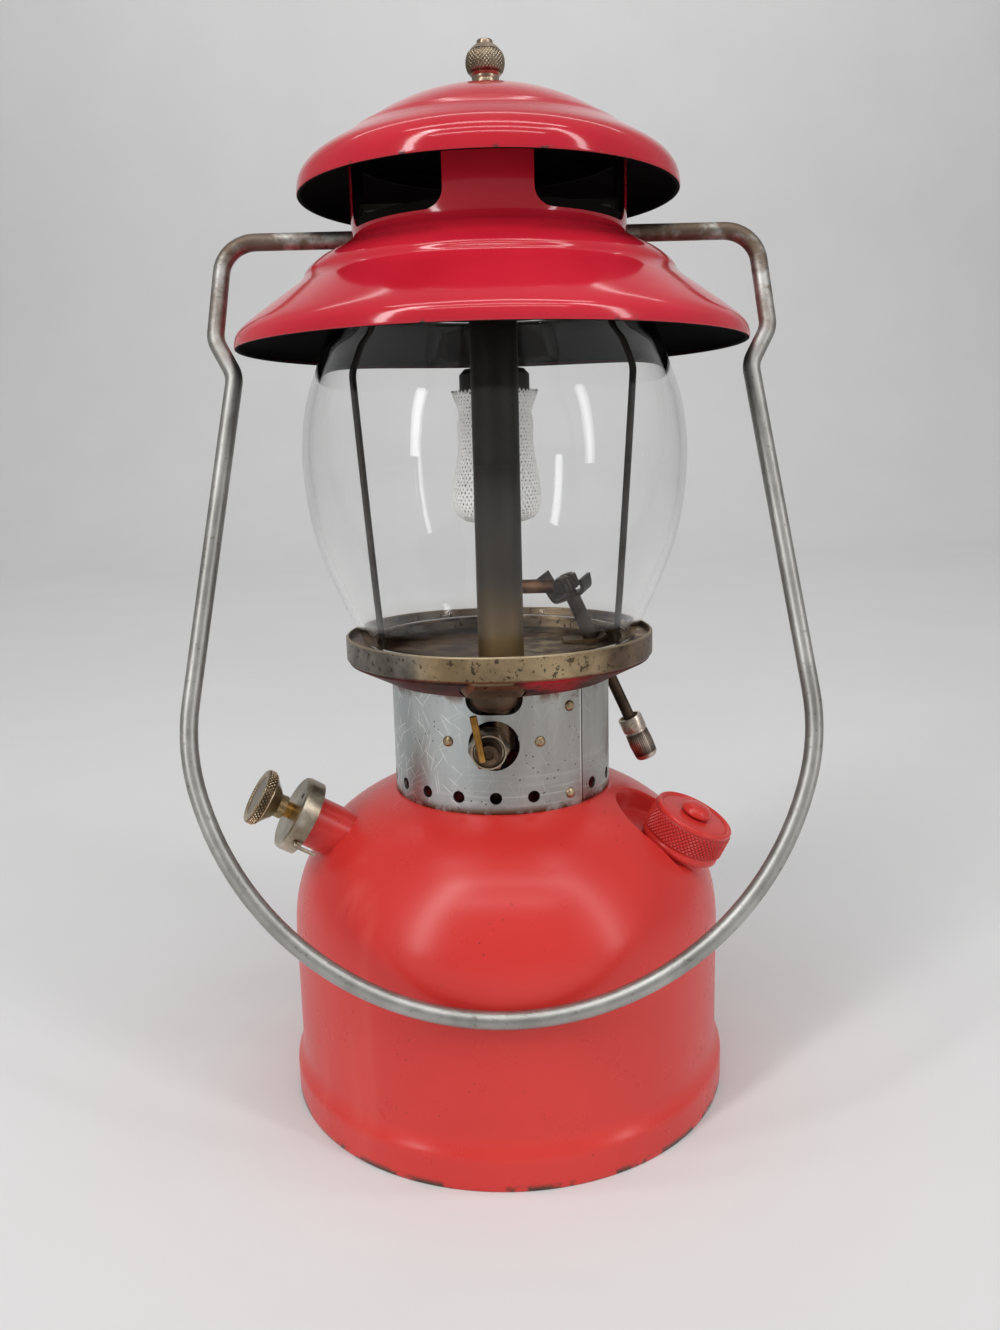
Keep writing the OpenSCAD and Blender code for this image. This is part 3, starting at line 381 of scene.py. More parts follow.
def ring_steel(name):
    """Cone under the globe rest, brown with old red paint, brightest at the right."""
    f = Finish(name, metallic=0.1, Specular_IOR_Level=0.15)
    x, y, _z = f.xyz()
    blot = f.step(f.noise(46, 6, 0.62, warp=0.4), 0.36, 0.66)
    base = f.mix(blot, (0.018, 0.010, 0.008), (0.075, 0.034, 0.024))
    patches = f.step(f.noise(80, 4, shift=(4, 0, 1)), 0.36, 0.56)
    bright = f.math("MULTIPLY", f.step(x, 4 * MM, 10 * MM), f.step(x, 27 * MM, 17 * MM))
    share = f.ranged(f.math("MULTIPLY", bright, f.step(y, 0.0, -8 * MM)), 0.12, 1.0)
    base = f.mix(f.math("MULTIPLY", patches, share), base, (0.36, 0.012, 0.020))
    pits = f.step(f.noise(380, 4, 0.6), 0.56, 0.66)
    f.set("Base Color", f.mix(f.math("MULTIPLY", pits, 0.7), base, (0.03, 0.018, 0.014)))
    f.set("Roughness", f.ranged(f.noise(140, 5), 0.35, 0.66))
    f.bump(f.noise(420, 5, 0.6), 0.2, 0.0004)
    return f.material


def plain_metal(name, dark, light, metallic=1.0, rough=(0.24, 0.5), grain=160, knurl=None):
    """Aged metal whose tone wanders between a tarnished and a rubbed colour."""
    f = Finish(name, metallic=metallic)
    base = f.mix(f.step(f.noise(grain * 0.5, 5, 0.6), 0.34, 0.68), dark, light)
    pits = f.step(f.noise(grain * 5, 3), 0.6, 0.7)
    base = f.mix(f.math("MULTIPLY", pits, 0.5), base, dark)
    if knurl:
        base = f.mix(f.math("MULTIPLY", f.groove(*knurl), 0.9), base, (0.035, 0.02, 0.01))
    f.set("Base Color", base)
    f.set("Roughness", f.ranged(f.noise(grain, 5), *rough))
    f.bump(f.noise(grain * 4, 3), 0.08, 0.0003)
    return f.material


def bail_steel(name):
    """Dull drawn wire, brown and rusty towards its upper ends."""
    f = Finish(name, metallic=1.0)
    grey = f.mix(f.step(f.noise(55, 5, 0.6), 0.3, 0.7), (0.31, 0.305, 0.285), (0.47, 0.465, 0.445))
    high = f.step(f.xyz()[2], 215 * MM, 262 * MM)
    rust = f.math("MULTIPLY", high, f.step(f.noise(130, 5, 0.62), 0.36, 0.6))
    base = f.mix(f.math("MULTIPLY", rust, 0.85), grey, (0.13, 0.08, 0.048))
    specks = f.step(f.noise(700, 3), 0.62, 0.7)
    f.set("Base Color", f.mix(f.math("MULTIPLY", specks, 0.5), base, (0.14, 0.11, 0.08)))
    f.set("Roughness", f.math("ADD", f.ranged(f.noise(220, 5), 0.36, 0.54), f.math("MULTIPLY", rust, 0.14)))
    f.bump(f.noise(520, 4), 0.1, 0.0003)
    return f.material


def tube_black(name):
    """Heat-blackened tube with pale dust that turns brassy near its foot."""
    f = Finish(name, metallic=0.3, Specular_IOR_Level=0.2)
    tone = f.noise(70, 5, 0.6, along=(1, 1, 0.35))
    black = f.mix(f.step(tone, 0.35, 0.7), (0.007, 0.006, 0.0045), (0.022, 0.017, 0.012))
    dust = f.step(f.cells(900), 0.14, 0.06)
    black = f.mix(f.math("MULTIPLY", dust, 0.35), black, (0.20, 0.17, 0.13))
    low = f.step(f.xyz()[2], 172 * MM, 144 * MM)
    brassy = f.math("MULTIPLY", low, f.ranged(f.noise(90, 4), 0.2, 0.9))
    f.set("Base Color", f.mix(brassy, black, (0.27, 0.175, 0.075)))
    f.set("Metallic", f.ranged(brassy, 0.3, 0.9))
    f.set("Roughness", f.ranged(f.noise(150, 5), 0.42, 0.66))
    f.bump(f.noise(600, 3), 0.1, 0.0003)
    return f.material


def clear_glass(name):
    """Clear glass with faint smudges and soot close to its two rims."""
    f = Finish(name, Transmission_Weight=1.0, IOR=1.3)
    z = f.xyz()[2]
    ends = f.math("ADD", f.step(z, 154 * MM, 147 * MM), f.step(z, 240 * MM, 248 * MM))
    soot = f.math("MULTIPLY", f.math("MULTIPLY", ends, f.noise(60, 4)), 0.6)
    f.set("Base Color", f.mix(soot, (0.992, 0.993, 0.992), (0.60, 0.55, 0.48)))
    f.set("Roughness", f.ranged(f.noise(35, 6), 0.0, 0.03))
    shade = f.node("ShaderNodeLightPath").outputs["Is Shadow Ray"]
    f.set("Alpha", f.ranged(shade, 1.0, 0.12))
    return f.material


def soot_black(name):
    """Inside sheet blackened by the flame."""
    f = Finish(name, roughness=0.9, Specular_IOR_Level=0.03)
    f.set("Base Color", f.mix(f.noise(120, 4), (0.003, 0.003, 0.003), (0.010, 0.009, 0.008)))
    return f.material


def cloth_white(name):
    """White burnt-in mesh thread."""
    f = Finish(name, roughness=0.9, Specular_IOR_Level=0.2)
    f.set("Base Color", f.mix(f.noise(260, 4), (0.90, 0.885, 0.85), (0.97, 0.965, 0.95)))
    f.bump(f.noise(1500, 3), 0.3, 0.0002)
    return f.material


def dull(name, dark, light, rough):
    """Rubber or leather with a fine grain."""
    f = Finish(name, roughness=rough)
    f.set("Base Color", f.mix(f.noise(220, 5), dark, light))
    f.bump(f.noise(900, 4), 0.3, 0.0002)
    return f.material


FINISH = {
    "skirt": enamel("skirt_enamel", 233 * MM),
    "cap": enamel("cap_enamel", 275.4 * MM),
    "fount": fount_paint("fount_paint"),
    "filler": fount_paint("filler_paint", (FILLER_AT, 12.32, 12.62, -9.0, -1.35)),
    "soot": soot_black("soot_black"),
    "collar": collar_steel("collar_steel"),
    "rim": rim_steel("rim_steel"),
    "ring": ring_steel("ring_steel"),
    "dark": plain_metal("dark_steel", (0.010, 0.009, 0.008), (0.042, 0.033, 0.025), 0.4, (0.42, 0.66), 110),
    "bracket": plain_metal("bracket_brown", (0.014, 0.011, 0.009), (0.075, 0.056, 0.042), 0.6,
                           (0.36, 0.6), 110),
    "foot": plain_metal("foot_brown", (0.07, 0.046, 0.026), (0.26, 0.18, 0.10), 0.7, (0.34, 0.6), 110),
    "cup": plain_metal("cup_brown", (0.03, 0.02, 0.013), (0.14, 0.092, 0.055), 0.7, (0.34, 0.6), 110),
    "tube": tube_black("tube_black"),
    "bail": bail_steel("bail_steel"),
    "brass": plain_metal("brass", (0.24, 0.155, 0.065), (0.58, 0.42, 0.19), 1.0, (0.22, 0.46)),
    "rivet": plain_metal("rivet_brass", (0.22, 0.16, 0.085), (0.55, 0.44, 0.28), 1.0, (0.22, 0.46)),
    "lever": plain_metal("lever_brass", (0.20, 0.095, 0.020), (0.50, 0.28, 0.075), 1.0, (0.3, 0.5)),
    "nut": plain_metal("nut_brass", (0.26, 0.20, 0.135), (0.66, 0.56, 0.42), 1.0, (0.26, 0.46)),
    "stem": plain_metal("stem_brown", (0.028, 0.016, 0.010), (0.17, 0.11, 0.066), 0.8, (0.3, 0.55)),
    "nickel": plain_metal("nickel", (0.25, 0.20, 0.14), (0.58, 0.52, 0.42), 1.0, (0.22, 0.44)),
    "knob": plain_metal("knob_nickel", (0.30, 0.225, 0.13), (0.66, 0.55, 0.38), 1.0, (0.2, 0.4), 160,
                        (PUMP_AT, 8.3, 8.75, -3.0, -0.3)),
    "wheel": plain_metal("wheel_steel", (0.05, 0.037, 0.027), (0.19, 0.145, 0.105), 0.7, (0.34, 0.55), 160,
                         (LIGHTER_AT, 3.25, 3.8, -1.5, 2.9)),
    "grip": plain_metal("grip_nickel", (0.42, 0.34, 0.27), (0.80, 0.72, 0.62), 1.0, (0.26, 0.46), 160,
                        (LIGHTER_AT, 3.78, 3.98, -62.6, -54.4)),
    "ball": plain_metal("ball_nickel", (0.22, 0.165, 0.11), (0.56, 0.46, 0.34), 1.0, (0.22, 0.42), 160,
                        (BALL_AT, 5.4, 5.68, -3.2, 3.2, True)),
    "copper": plain_metal("copper", (0.12, 0.06, 0.03), (0.46, 0.24, 0.12), 1.0, (0.3, 0.55)),
    "glass": clear_glass("globe_glass"),
    "mantle": cloth_white("mantle_cloth"),
    "gasket": dull("gasket_rubber", (0.018, 0.018, 0.018), (0.05, 0.05, 0.05), 0.7),
    "leather": dull("pump_leather", (0.16, 0.09, 0.045), (0.34, 0.21, 0.11), 0.6),
}

NODE_FINISH = {
    "fount": ["fount_shell", "fount_bottom", "filler_neck", "filler_screw", "pump_tube"],
    "filler": ["filler_cap"],
    "skirt": ["ventilator_skirt"],
    "cap": ["ventilator_cap"],
    "collar": ["collar_band"],
    "rim": ["frame_base"],
    "ring": ["frame_ring"],
    "cup": ["tube_cup", "lighter_rod"],
    "tube": ["air_tube"],
    "dark": ["frame_wires", "frame_bridge", "manifold", "burner_cap", "lighter_bracket", "striker_wheel"],
    "bail": ["bail", "centre_stud"],
    "brass": ["filler_insert", "check_valve", "air_stem", "pump_nut", "jet_tip"],
    "rivet": ["collar_rivets"],
    "lever": ["valve_lever", "pump_rod"],
    "nut": ["packing_nut"],
    "ball": ["ball_nut"],
    "knob": ["pump_knob"],
    "grip": ["lighter_knob"],
    "stem": ["valve_stem", "valve_boss", "valve_body", "fuel_tube", "generator"],
    "nickel": ["pump_cap", "pump_clip", "lighter_set_screw"],
    "copper": ["flint_tube"],
    "glass": ["globe"],
    "mantle": ["mantle"],
    "gasket": ["filler_gasket"],
    "leather": ["pump_leather"],
}
for finish_name, names in NODE_FINISH.items():
    for node_name in names:
        mesh = nodes[node_name].data
        mesh.materials.clear()
        mesh.materials.append(FINISH[finish_name])


# Forms

def spline(points, steps):
    """Smooth run through points, the same curve as the solids follow."""
    run = []
    last = len(points) - 1
    for i in range(last):
        p0, p1, p2, p3 = (points[min(max(j, 0), last)] for j in (i - 1, i, i + 1, i + 2))
        for k in range(steps):
            t = k / steps
            run.append(tuple(
                0.5 * (2 * b + (c - a) * t + (2 * a - 5 * b + 4 * c - d) * t * t
                       + (3 * b - a - 3 * c + d) * t ** 3)
                for a, b, c, d in zip(p0, p1, p2, p3)))
    run.append(tuple(points[last]))
    return run


def beside(run, gap):
    """Points moved sideways off a run; gap is a number or a function of height."""
    moved = []
    for i, (r, z) in enumerate(run):
        a = run[max(i - 1, 0)]
        b = run[min(i + 1, len(run) - 1)]
        size = math.hypot(b[0] - a[0], b[1] - a[1])
        t = gap(z) if callable(gap) else gap
        moved.append((r + (b[1] - a[1]) / size * t, z - (b[0] - a[0]) / size * t))
    return moved


def offset(run, gap):
    """Points beside a profile that stays on its side of the axis."""
    return [(max(0.0, r), z) for r, z in beside(run, gap)]


# Steps round the enamelled hoods and round their trim

HOOD_STEPS = 256
RING_STEPS = 128


def circle_angles(steps):
    return [2 * math.pi * k / steps for k in range(steps)]


def round_outline(x, y, radius, steps=40):
    return [(x + radius * math.cos(a), y + radius * math.sin(a)) for a in circle_angles(steps)]


def spin(profile, angles, push=None, closed=True):
    """Verts and faces of a profile of radius and height turned about Z."""
    cols = len(angles)
    verts = []
    for i, (r, z) in enumerate(profile):
        for a in angles:
            grown = r + (push(a, z, i) if push else 0.0)
            verts.append((grown * math.cos(a), grown * math.sin(a), z))
    faces = []
    for i in range(len(profile) if closed else len(profile) - 1):
        j = (i + 1) % len(profile)
        for k in range(cols):
            m = (k + 1) % cols
            faces.append((i * cols + k, i * cols + m, j * cols + m, j * cols + k))
    return verts, faces


def finished(name, verts, faces, place, sharp):
    """Mesh in metres with merged points, outward normals and smooth shading."""
    data = bpy.data.meshes.new(name)
    data.from_pydata([(place @ Vector(v)) * MM for v in verts], [], faces)
    bm = bmesh.new()
    bm.from_mesh(data)
    bmesh.ops.remove_doubles(bm, verts=bm.verts, dist=2e-7)
    bmesh.ops.dissolve_degenerate(bm, edges=bm.edges, dist=1e-7)
    bmesh.ops.recalc_face_normals(bm, faces=bm.faces)
    bm.to_mesh(data)
    bm.free()
    for face in data.polygons:
        face.use_smooth = True
    data.set_sharp_from_angle(angle=math.radians(sharp))
    return data


def applied(made):
    """Bake the modifiers of a piece into its mesh."""
    made.data = bpy.data.meshes.new_from_object(made.evaluated_get(bpy.context.evaluated_depsgraph_get()))
    made.modifiers.clear()


def new_piece(name, verts, faces, finish, node, place=NO_MOVE, sharp=30.0):
    """A piece that stands for one CAD node, or without a node lies beside one on the lantern."""
    data = finished(name, verts, faces, place, sharp)
    data.materials.append(FINISH[finish])
    made = bpy.data.objects.new(name, data)
    bpy.context.scene.collection.objects.link(made)
    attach(made, body_of[node] if node else "lantern")
    if node:
        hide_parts(node)
    return made


# Knurled pieces, with this many points across each tooth

FINE, KNURL_END = 6, 0.35


def diamonds(count, pitch, depth, low, high):
    """Push for crossed knurling between two heights; zero on the valleys."""
    def push(a, z, _row):
        if not low <= z <= high:
            return 0.0
        u = a * count / (2 * math.pi)
        v = (z - low) / pitch
        crossed = [1 - abs(2 * ((u + s * v) % 1.0) - 1) for s in (1, -1)]
        ends = min(1.0, (z - low) / KNURL_END, (high - z) / KNURL_END)
        return depth * min(crossed) * ends
    return push


def band_rows(radius, high, low, pitch):
    rows = max(2, round((high - low) / pitch * FINE))
    return [(radius, high + (low - high) * i / rows) for i in range(rows + 1)]


def knurled_cap():
    valley, low, high = 12.3, -9.0, -1.45
    count, pitch = 58, 1.5
    outline = [(2.5, -0.4), (10.0, -0.4), (10.5, -0.5), (10.75, -0.7), (11.0, -0.35), (11.4, -0.05),
               (11.8, 0.0), (12.2, -0.2), (12.4, -0.6), (12.35, -1.1)]
    outline += band_rows(valley, high, low, pitch)
    outline += [(12.2, -9.25), (12.2, -9.5), (12.4, -9.7), (12.4, -11.2), (12.15, -11.5), (10.65, -11.5),
                (10.6, -11.2), (10.6, -2.0), (2.5, -2.0)]
    verts, faces = spin(outline, circle_angles(count * FINE), diamonds(count, pitch, 0.58, low, high))
    new_piece("cap_knurled", verts, faces, "filler", "filler_cap", FILLER_AT, 50)


def domed_screw():
    outline = [(0.0, -6.9), (2.38, -6.9), (2.38, 0.12), (4.2, 0.12), (4.55, 0.3), (4.65, 0.7), (4.6, 1.15),
               (4.35, 1.75), (3.85, 2.35), (3.1, 2.85), (2.2, 3.18), (1.1, 3.36), (0.0, 3.4)]
    verts, faces = spin(outline, circle_angles(64), closed=False)
    new_piece("screw_domed", verts, faces, "fount", "filler_screw", FILLER_AT, 60)


def milled_knob():
    valley, low, high = 8.25, -3.0, -0.3
    count, pitch = 44, 1.25
    outline = [(0.0, -0.4), (5.6, -0.4), (6.3, -0.38), (6.55, -0.12), (6.9, 0.0), (7.9, 0.0), (8.3, -0.12)]
    outline += band_rows(valley, high, low, pitch)
    outline += [(8.25, -3.3), (7.4, -3.9), (6.2, -4.9), (5.2, -5.9), (4.5, -6.6), (3.9, -6.95), (3.7, -7.2),
                (3.7, -9.3), (3.45, -9.6), (2.58, -9.6), (2.58, -4.0), (0.0, -4.0)]
    verts, faces = spin(outline, circle_angles(count * FINE), diamonds(count, pitch, 0.62, low, high))
    new_piece("knob_milled", verts, faces, "knob", "pump_knob", PUMP_AT, 40)


def lighter_grip():
    valley, low, high = 3.8, -62.6, -54.4
    count, pitch = 18, 1.5
    outline = [(0.0, -64.3), (2.4, -64.3), (3.1, -64.1), (3.6, -63.6), (3.8, -62.9)]
    outline += band_rows(valley, low, high, pitch)
    outline += [(3.6, -54.15), (3.55, -53.9), (3.95, -53.7), (4.0, -53.4), (4.0, -49.2), (3.8, -48.9),
                (3.15, -48.9), (3.15, -49.9), (0.0, -49.9)]
    verts, faces = spin(outline, circle_angles(count * FINE), diamonds(count, pitch, 0.43, low, high))
    new_piece("lighter_grip", verts, faces, "grip", "lighter_knob", LIGHTER_AT, 50)


def knurled_ball():
    radius = 5.45
    low, high = BALL_Z - 2.9, BALL_Z + 2.9
    count, pitch = 34, 1.2
    outline = [(2.5, 304.6), (3.55, 304.6), (3.85, 304.9), (3.9, 305.3), (3.9, 306.9), (3.75, 307.3),
               (3.95, 307.7)]
    rows = 44
    for i in range(rows + 1):
        a = math.radians(-44 + 108 * i / rows)
        outline.append((radius * math.cos(a), BALL_Z + radius * math.sin(a)))
    outline += [(2.35, 317.3), (2.3, 317.75), (2.05, 318.0), (0.0, 318.0)]
    outline += [(0.0, 312.1), (2.48, 312.1)]
    verts, faces = spin(outline, circle_angles(count * FINE), diamonds(count, pitch, 0.3, low, high))
    new_piece("ball_knurled", verts, faces, "ball", "ball_nut", NO_MOVE, 45)


MANTLE_RUN = [(13.3, 221.0), (12.3, 218.0), (11.4, 216.0), (11.1, 214.0), (11.6, 211.6), (11.5, 207.0),
              (11.9, 202.0), (12.9, 196.0), (13.7, 190.0), (13.4, 186.0), (11.8, 183.3), (8.2, 181.9),
              (0.5, 181.5)]


def knitted_bag():
    """Diamond net on the mantle's run, with real gaps between its threads."""
    around, along, hole = 52, 46, 0.5
    fine = spline(MANTLE_RUN, 12)
    lengths = [0.0]
    for a, b in zip(fine, fine[1:]):
        lengths.append(lengths[-1] + math.dist(a, b))
    rows = []
    for i in range(along + 1):
        want = lengths[-1] * i / along
        j = max(1, next(n for n, s in enumerate(lengths) if s >= want - 1e-9))
        t = (want - lengths[j - 1]) / (lengths[j] - lengths[j - 1])
        rows.append(tuple(p + (q - p) * t for p, q in zip(fine[j - 1], fine[j])))

    def knot(i, k):
        r, z = rows[i]
        a = 2 * math.pi * (k + 0.5 * (i % 2)) / around
        sway = 0.10 * math.sin(3.7 * i + 2.3 * k) + 0.08 * math.sin(1.9 * k - 0.8 * i)
        r = r - 0.25 + 0.06 * math.sin(2.6 * k + 4.1 * i)
        return Vector((r * math.cos(a), r * math.sin(a), z + sway * min(1.0, r / 6)))

    verts, faces = [], []
    for i in range(1, along):
        for k in range(around):
            right = k + 1
            mid = k + (i % 2)
            outer = [knot(i, k), knot(i - 1, mid), knot(i, right), knot(i + 1, mid)]
            centre = sum(outer, Vector()) / 4
            gap = hole * (0.85 + 0.15 * math.sin(5.1 * k + 2.7 * i))
            inner = [centre + (p - centre) * gap for p in outer]
            base = len(verts)
            verts += outer + inner
            for s in range(4):
                n = (s + 1) % 4
                faces.append((base + s, base + n, base + 4 + n, base + 4 + s))
    made = new_piece("mantle_net", verts, faces, "mantle", "mantle", BURNER_AT, 60)
    thick = made.modifiers.new("thread", "SOLIDIFY")
    thick.thickness = 0.3 * MM
    thick.offset = 0.0
    applied(made)


GLOBE_RUN = [(43.8, 249.2), (48.8, 238.0), (53.3, 226.4), (56.2, 217.7), (57.8, 208.0), (58.1, 199.0),
             (56.9, 185.6), (54.1, 173.5), (49.3, 161.0), (44.6, 150.8), (42.4, 146.0)]
GLASS = 2.2


def glass_gap(z):
    return GLASS + max(0.0, z - 234.0) * 0.12


def blown_globe():
    outer = spline(GLOBE_RUN, 10)
    inner = offset(outer, glass_gap)
    inner[0] = (inner[0][0], outer[0][1])
    inner[-1] = (inner[-1][0], outer[-1][1])
    rim = 0.35
    loop = [(outer[0][0] - rim, outer[0][1]), (outer[0][0], outer[0][1] - rim)] + outer[1:-1]
    loop += [(outer[-1][0], outer[-1][1] + rim), (outer[-1][0] - rim, outer[-1][1])]
    back = inner[1:-1]
    back.reverse()
    loop += [(inner[-1][0] + rim, inner[-1][1]), (inner[-1][0], inner[-1][1] + rim)] + back
    loop += [(inner[0][0], inner[0][1] - rim), (inner[0][0] + rim, inner[0][1])]
    verts, faces = spin(loop, circle_angles(192))
    new_piece("globe_blown", verts, faces, "glass", "globe", NO_MOVE, 70)


def soft_min(a, b, k):
    h = max(k - abs(a - b), 0.0) / k
    return min(a, b) - h * h * k * 0.25


FOUNT_R, FOOT_R, WALL_TOP, DOME_H, POWER = 68.6, 70.6, 53.0, 50.0, 2.3
FOUNT_TOP, SEAT_R = 98.03, 35.1
POCKET_SIDE, POCKET_RUN, POCKET_FLOOR, POCKET_EDGE = 14.4, 9.0, -13.0, 1.6
POCKET_DEEP, POCKET_MARGIN, POCKET_LOW = -30.0, 4.0, 40.0
PUMP_HOLE, PUMP_REACH = 7.75, -60.0


def fount_outline():
    """Outside of the tank from inside the foot, up the wall and over the dome."""
    foot = [(69.7, 8.0), (69.7, 0.5), (69.9, 0.1), (70.2, 0.0), (70.45, 0.15), (FOOT_R, 0.5)]
    foot += [(FOOT_R, 2.0 + i) for i in range(6)]
    step = spline([(FOOT_R, 7.6), (FOOT_R, 9.0), (70.35, 10.2), (69.6, 11.8), (68.95, 13.6), (68.65, 15.4),
                   (FOUNT_R, 17.5)], 4)
    wall = [(FOUNT_R, z) for z in (21, 26, 31, 36, 41, 45, 48, 50, 51.5)]
    dome = []
    end = math.acos((SEAT_R / FOUNT_R) ** (POWER / 2))
    count = 150
    for i in range(count + 1):
        a = end * (i / count) ** 1.15
        dome.append((FOUNT_R * math.cos(a) ** (2 / POWER), WALL_TOP + DOME_H * math.sin(a) ** (2 / POWER)))
    lid = [(34.6, FOUNT_TOP), (28.0, FOUNT_TOP), (10.0, FOUNT_TOP), (0.0, FOUNT_TOP)]
    return foot + step + wall + dome + lid


def spaced_angles(middle, dense, fine, coarse):
    """Angles round the axis, close together near one side."""
    angles = []
    a = middle - dense
    while a < middle + dense:
        angles.append(math.radians(a))
        a += fine
    while a < middle + 360.0 - dense:
        angles.append(math.radians(a))
        a += coarse
    return angles


def opened(verts, faces):
    """The same sheet with a round opening where the pump tube goes through it."""
    back = PUMP_AT.inverted()
    inside = set()
    moved = list(verts)
    for i, v in enumerate(verts):
        q = back @ Vector(v)
        gap = math.hypot(q.x, q.y)
        if gap < PUMP_HOLE and PUMP_REACH < q.z < 0:
            inside.add(i)
            out = PUMP_HOLE / max(gap, 0.01)
            moved[i] = tuple(PUMP_AT @ Vector((q.x * out, q.y * out, q.z)))
    faces = [face for face in faces if not inside.issuperset(face)]
    kept = sorted({i for face in faces for i in face})
    number = {old: new for new, old in enumerate(kept)}
    return [moved[i] for i in kept], [tuple(number[i] for i in face) for face in faces]


def pressed_fount():
    """Tank with a smooth dome and a long dished pocket round the filler."""
    verts, faces = spin(fount_outline(), spaced_angles(FILLER_AZ, 26.0, 0.26, 2.0), closed=False)
    away = FILLER_AT.inverted()
    moved = []
    for v in verts:
        p = Vector(v)
        q = away @ p
        along = min(0.0, max(-POCKET_RUN, q.x))
        reach = math.hypot(q.x - along, q.y)
        if q.z > POCKET_DEEP and reach < POCKET_SIDE + POCKET_MARGIN and p.z > POCKET_LOW:
            wall = max(0.0, reach - (POCKET_SIDE - POCKET_EDGE))
            dish = POCKET_FLOOR + 1.2 * wall ** 2.1
            low = soft_min(q.z, dish, 1.1)
            p = FILLER_AT @ Vector((q.x, q.y, low))
        moved.append(tuple(p))
    moved, faces = opened(moved, faces)
    new_piece("fount_pressed", moved, faces, "fount", "fount_shell", NO_MOVE, 60)


def cut_by(made, cutters, sharp=40.0):
    """Cut other meshes out of a piece and bake the result."""
    for cutter in cutters:
        step = made.modifiers.new("cut", "BOOLEAN")
        step.operation = "DIFFERENCE"
        step.solver = "EXACT"
        step.object = cutter
    applied(made)
    made.data.set_sharp_from_angle(angle=math.radians(sharp))
    for cutter in cutters:
        data = cutter.data
        bpy.data.objects.remove(cutter)
        bpy.data.meshes.remove(data)


def extruded(outline, low, high):
    """Verts and faces of an outline in XY drawn out along Z."""
    count = len(outline)
    verts = [(x, y, z) for z in (low, high) for x, y in outline]
    faces = [tuple(range(count))[::-1], tuple(range(count, 2 * count))]
    faces += [(i, (i + 1) % count, count + (i + 1) % count, count + i) for i in range(count)]
    return verts, faces


def prism(name, outline, low, high, place):
    """Plain solid of an outline, for cutting only."""
    data = finished(name, *extruded(outline, low, high), place, 30)
    made = bpy.data.objects.new(name, data)
    bpy.context.scene.collection.objects.link(made)
    return made


NECK_R, VENT_T, VENT_ROLL, NECK_TOP, SILL_Z = 40.3, 0.9, 0.6, 289.0, 265.53
BAIL_Z, BAIL_HOLE = 265.03, 2.9
WINDOWS_AT = (45, 135, 225, 315)
SKIRT_RUN = [(NECK_R, z) for z in (NECK_TOP, 282.0, 276.0, 270.0, 265.6)]
SKIRT_RUN += [(41.1, 263.1), (43.0, 261.75), (46.0, 260.1), (50.0, 257.95), (52.8, 255.9), (54.3, 254.2),
              (55.05, 252.6), (57.0, 250.7), (60.0, 248.55), (65.0, 245.0), (70.0, 241.35), (73.3, 238.7),
              (75.0, 236.7), (75.55, 234.9), (75.6, 233.6)]


def rolled(run, thick, roll):
    """Closed sheet section whose lower edge is turned over in a small bead."""
    inner = offset(run, thick)
    r, z = run[-1]
    bead = []
    for i in range(1, 8):
        a = math.radians(180 * i / 8)
        bead.append((r - roll + roll * math.cos(a), z - roll * math.sin(a)))
    inner[-1] = (r - 2 * roll, z)
    back = list(inner)
    back.reverse()
    return run + bead + back


def window_outline():
    """Window seen along its own axis, round at the lower corners."""
    half = NECK_R * math.sin(math.radians(27.7))
    top, corner = NECK_TOP - 2.6, 5.0
    points = [(-half, top), (half, top)]
    for side, start in ((1, 0), (-1, -90)):
        for i in range(9):
            a = math.radians(start - 90 * i / 8)
            points.append((side * (half - corner) + corner * math.cos(a),
                           SILL_Z + corner + corner * math.sin(a)))
    return points


def enamelled_skirt():
    section = rolled(spline(SKIRT_RUN, 5), VENT_T, VENT_ROLL)
    verts, faces = spin(section, circle_angles(HOOD_STEPS))
    liner = [(39.6, 249.2), (39.6, 268.0), (38.6, 268.0), (38.6, 249.2)]
    ledge = [(43.4, 249.2), (43.4, 250.1), (38.7, 250.1), (38.7, 249.2)]
    made = new_piece("skirt_enamelled", verts, faces, "skirt", "ventilator_skirt",
                     NO_MOVE, 40)
    outline = window_outline()
    cutters = [prism("window_cut", outline, 20, 60, turned(a, "Z") @ SIDE_ON) for a in WINDOWS_AT]
    cutters.append(prism("bail_cut", round_outline(0.0, BAIL_Z, BAIL_HOLE, 24), -44, 44, SIDE_ON))
    cut_by(made, cutters)
    for name, profile in (("skirt_liner", liner), ("skirt_ledge", ledge)):
        verts, faces = spin(profile, circle_angles(RING_STEPS))
        new_piece(name, verts, faces, "soot", None)


COLLAR_T, COLLAR_LOW, COLLAR_TOP = 0.8, FOUNT_TOP, 133.83
SEAM_AT, SEAM_STEP, SEAM_FADE = math.radians(SEAM_AZ - 90.0), 0.4, math.radians(30.0)
VALVE_HOLE_X, VALVE_HOLE_R = -2.3, 7.5
AIR_ROW, AIR_R, AIR_HOLES, AIR_SKIPPED, AIR_TURN = 103.03, 1.85, 19, 2, -3.6
CUP_LOW, CUP_R, CUP_TOP, CUP_GAP = 128.53, 8.0, 140.43, 0.35


def lap_step(a):
    """How far the under sheet lies back past the seam."""
    past = (a - SEAM_AT) % (2 * math.pi)
    return -SEAM_STEP * max(0.0, 1.0 - past / SEAM_FADE)


def cup_notch():
    """Notch of the collar round the cup, with round lower corners."""
    half, low, corner = CUP_R + CUP_GAP, CUP_LOW - CUP_GAP, 4.6
    above = COLLAR_TOP + 3.0
    points = [(CUP_X - half, above)]
    for side, start in ((-1, 180), (1, 270)):
        for i in range(9):
            a = math.radians(start + 90 * i / 8)
            points.append((CUP_X + side * (half - corner) + corner * math.cos(a),
                           low + corner + corner * math.sin(a)))
    points.append((CUP_X + half, above))
    return points


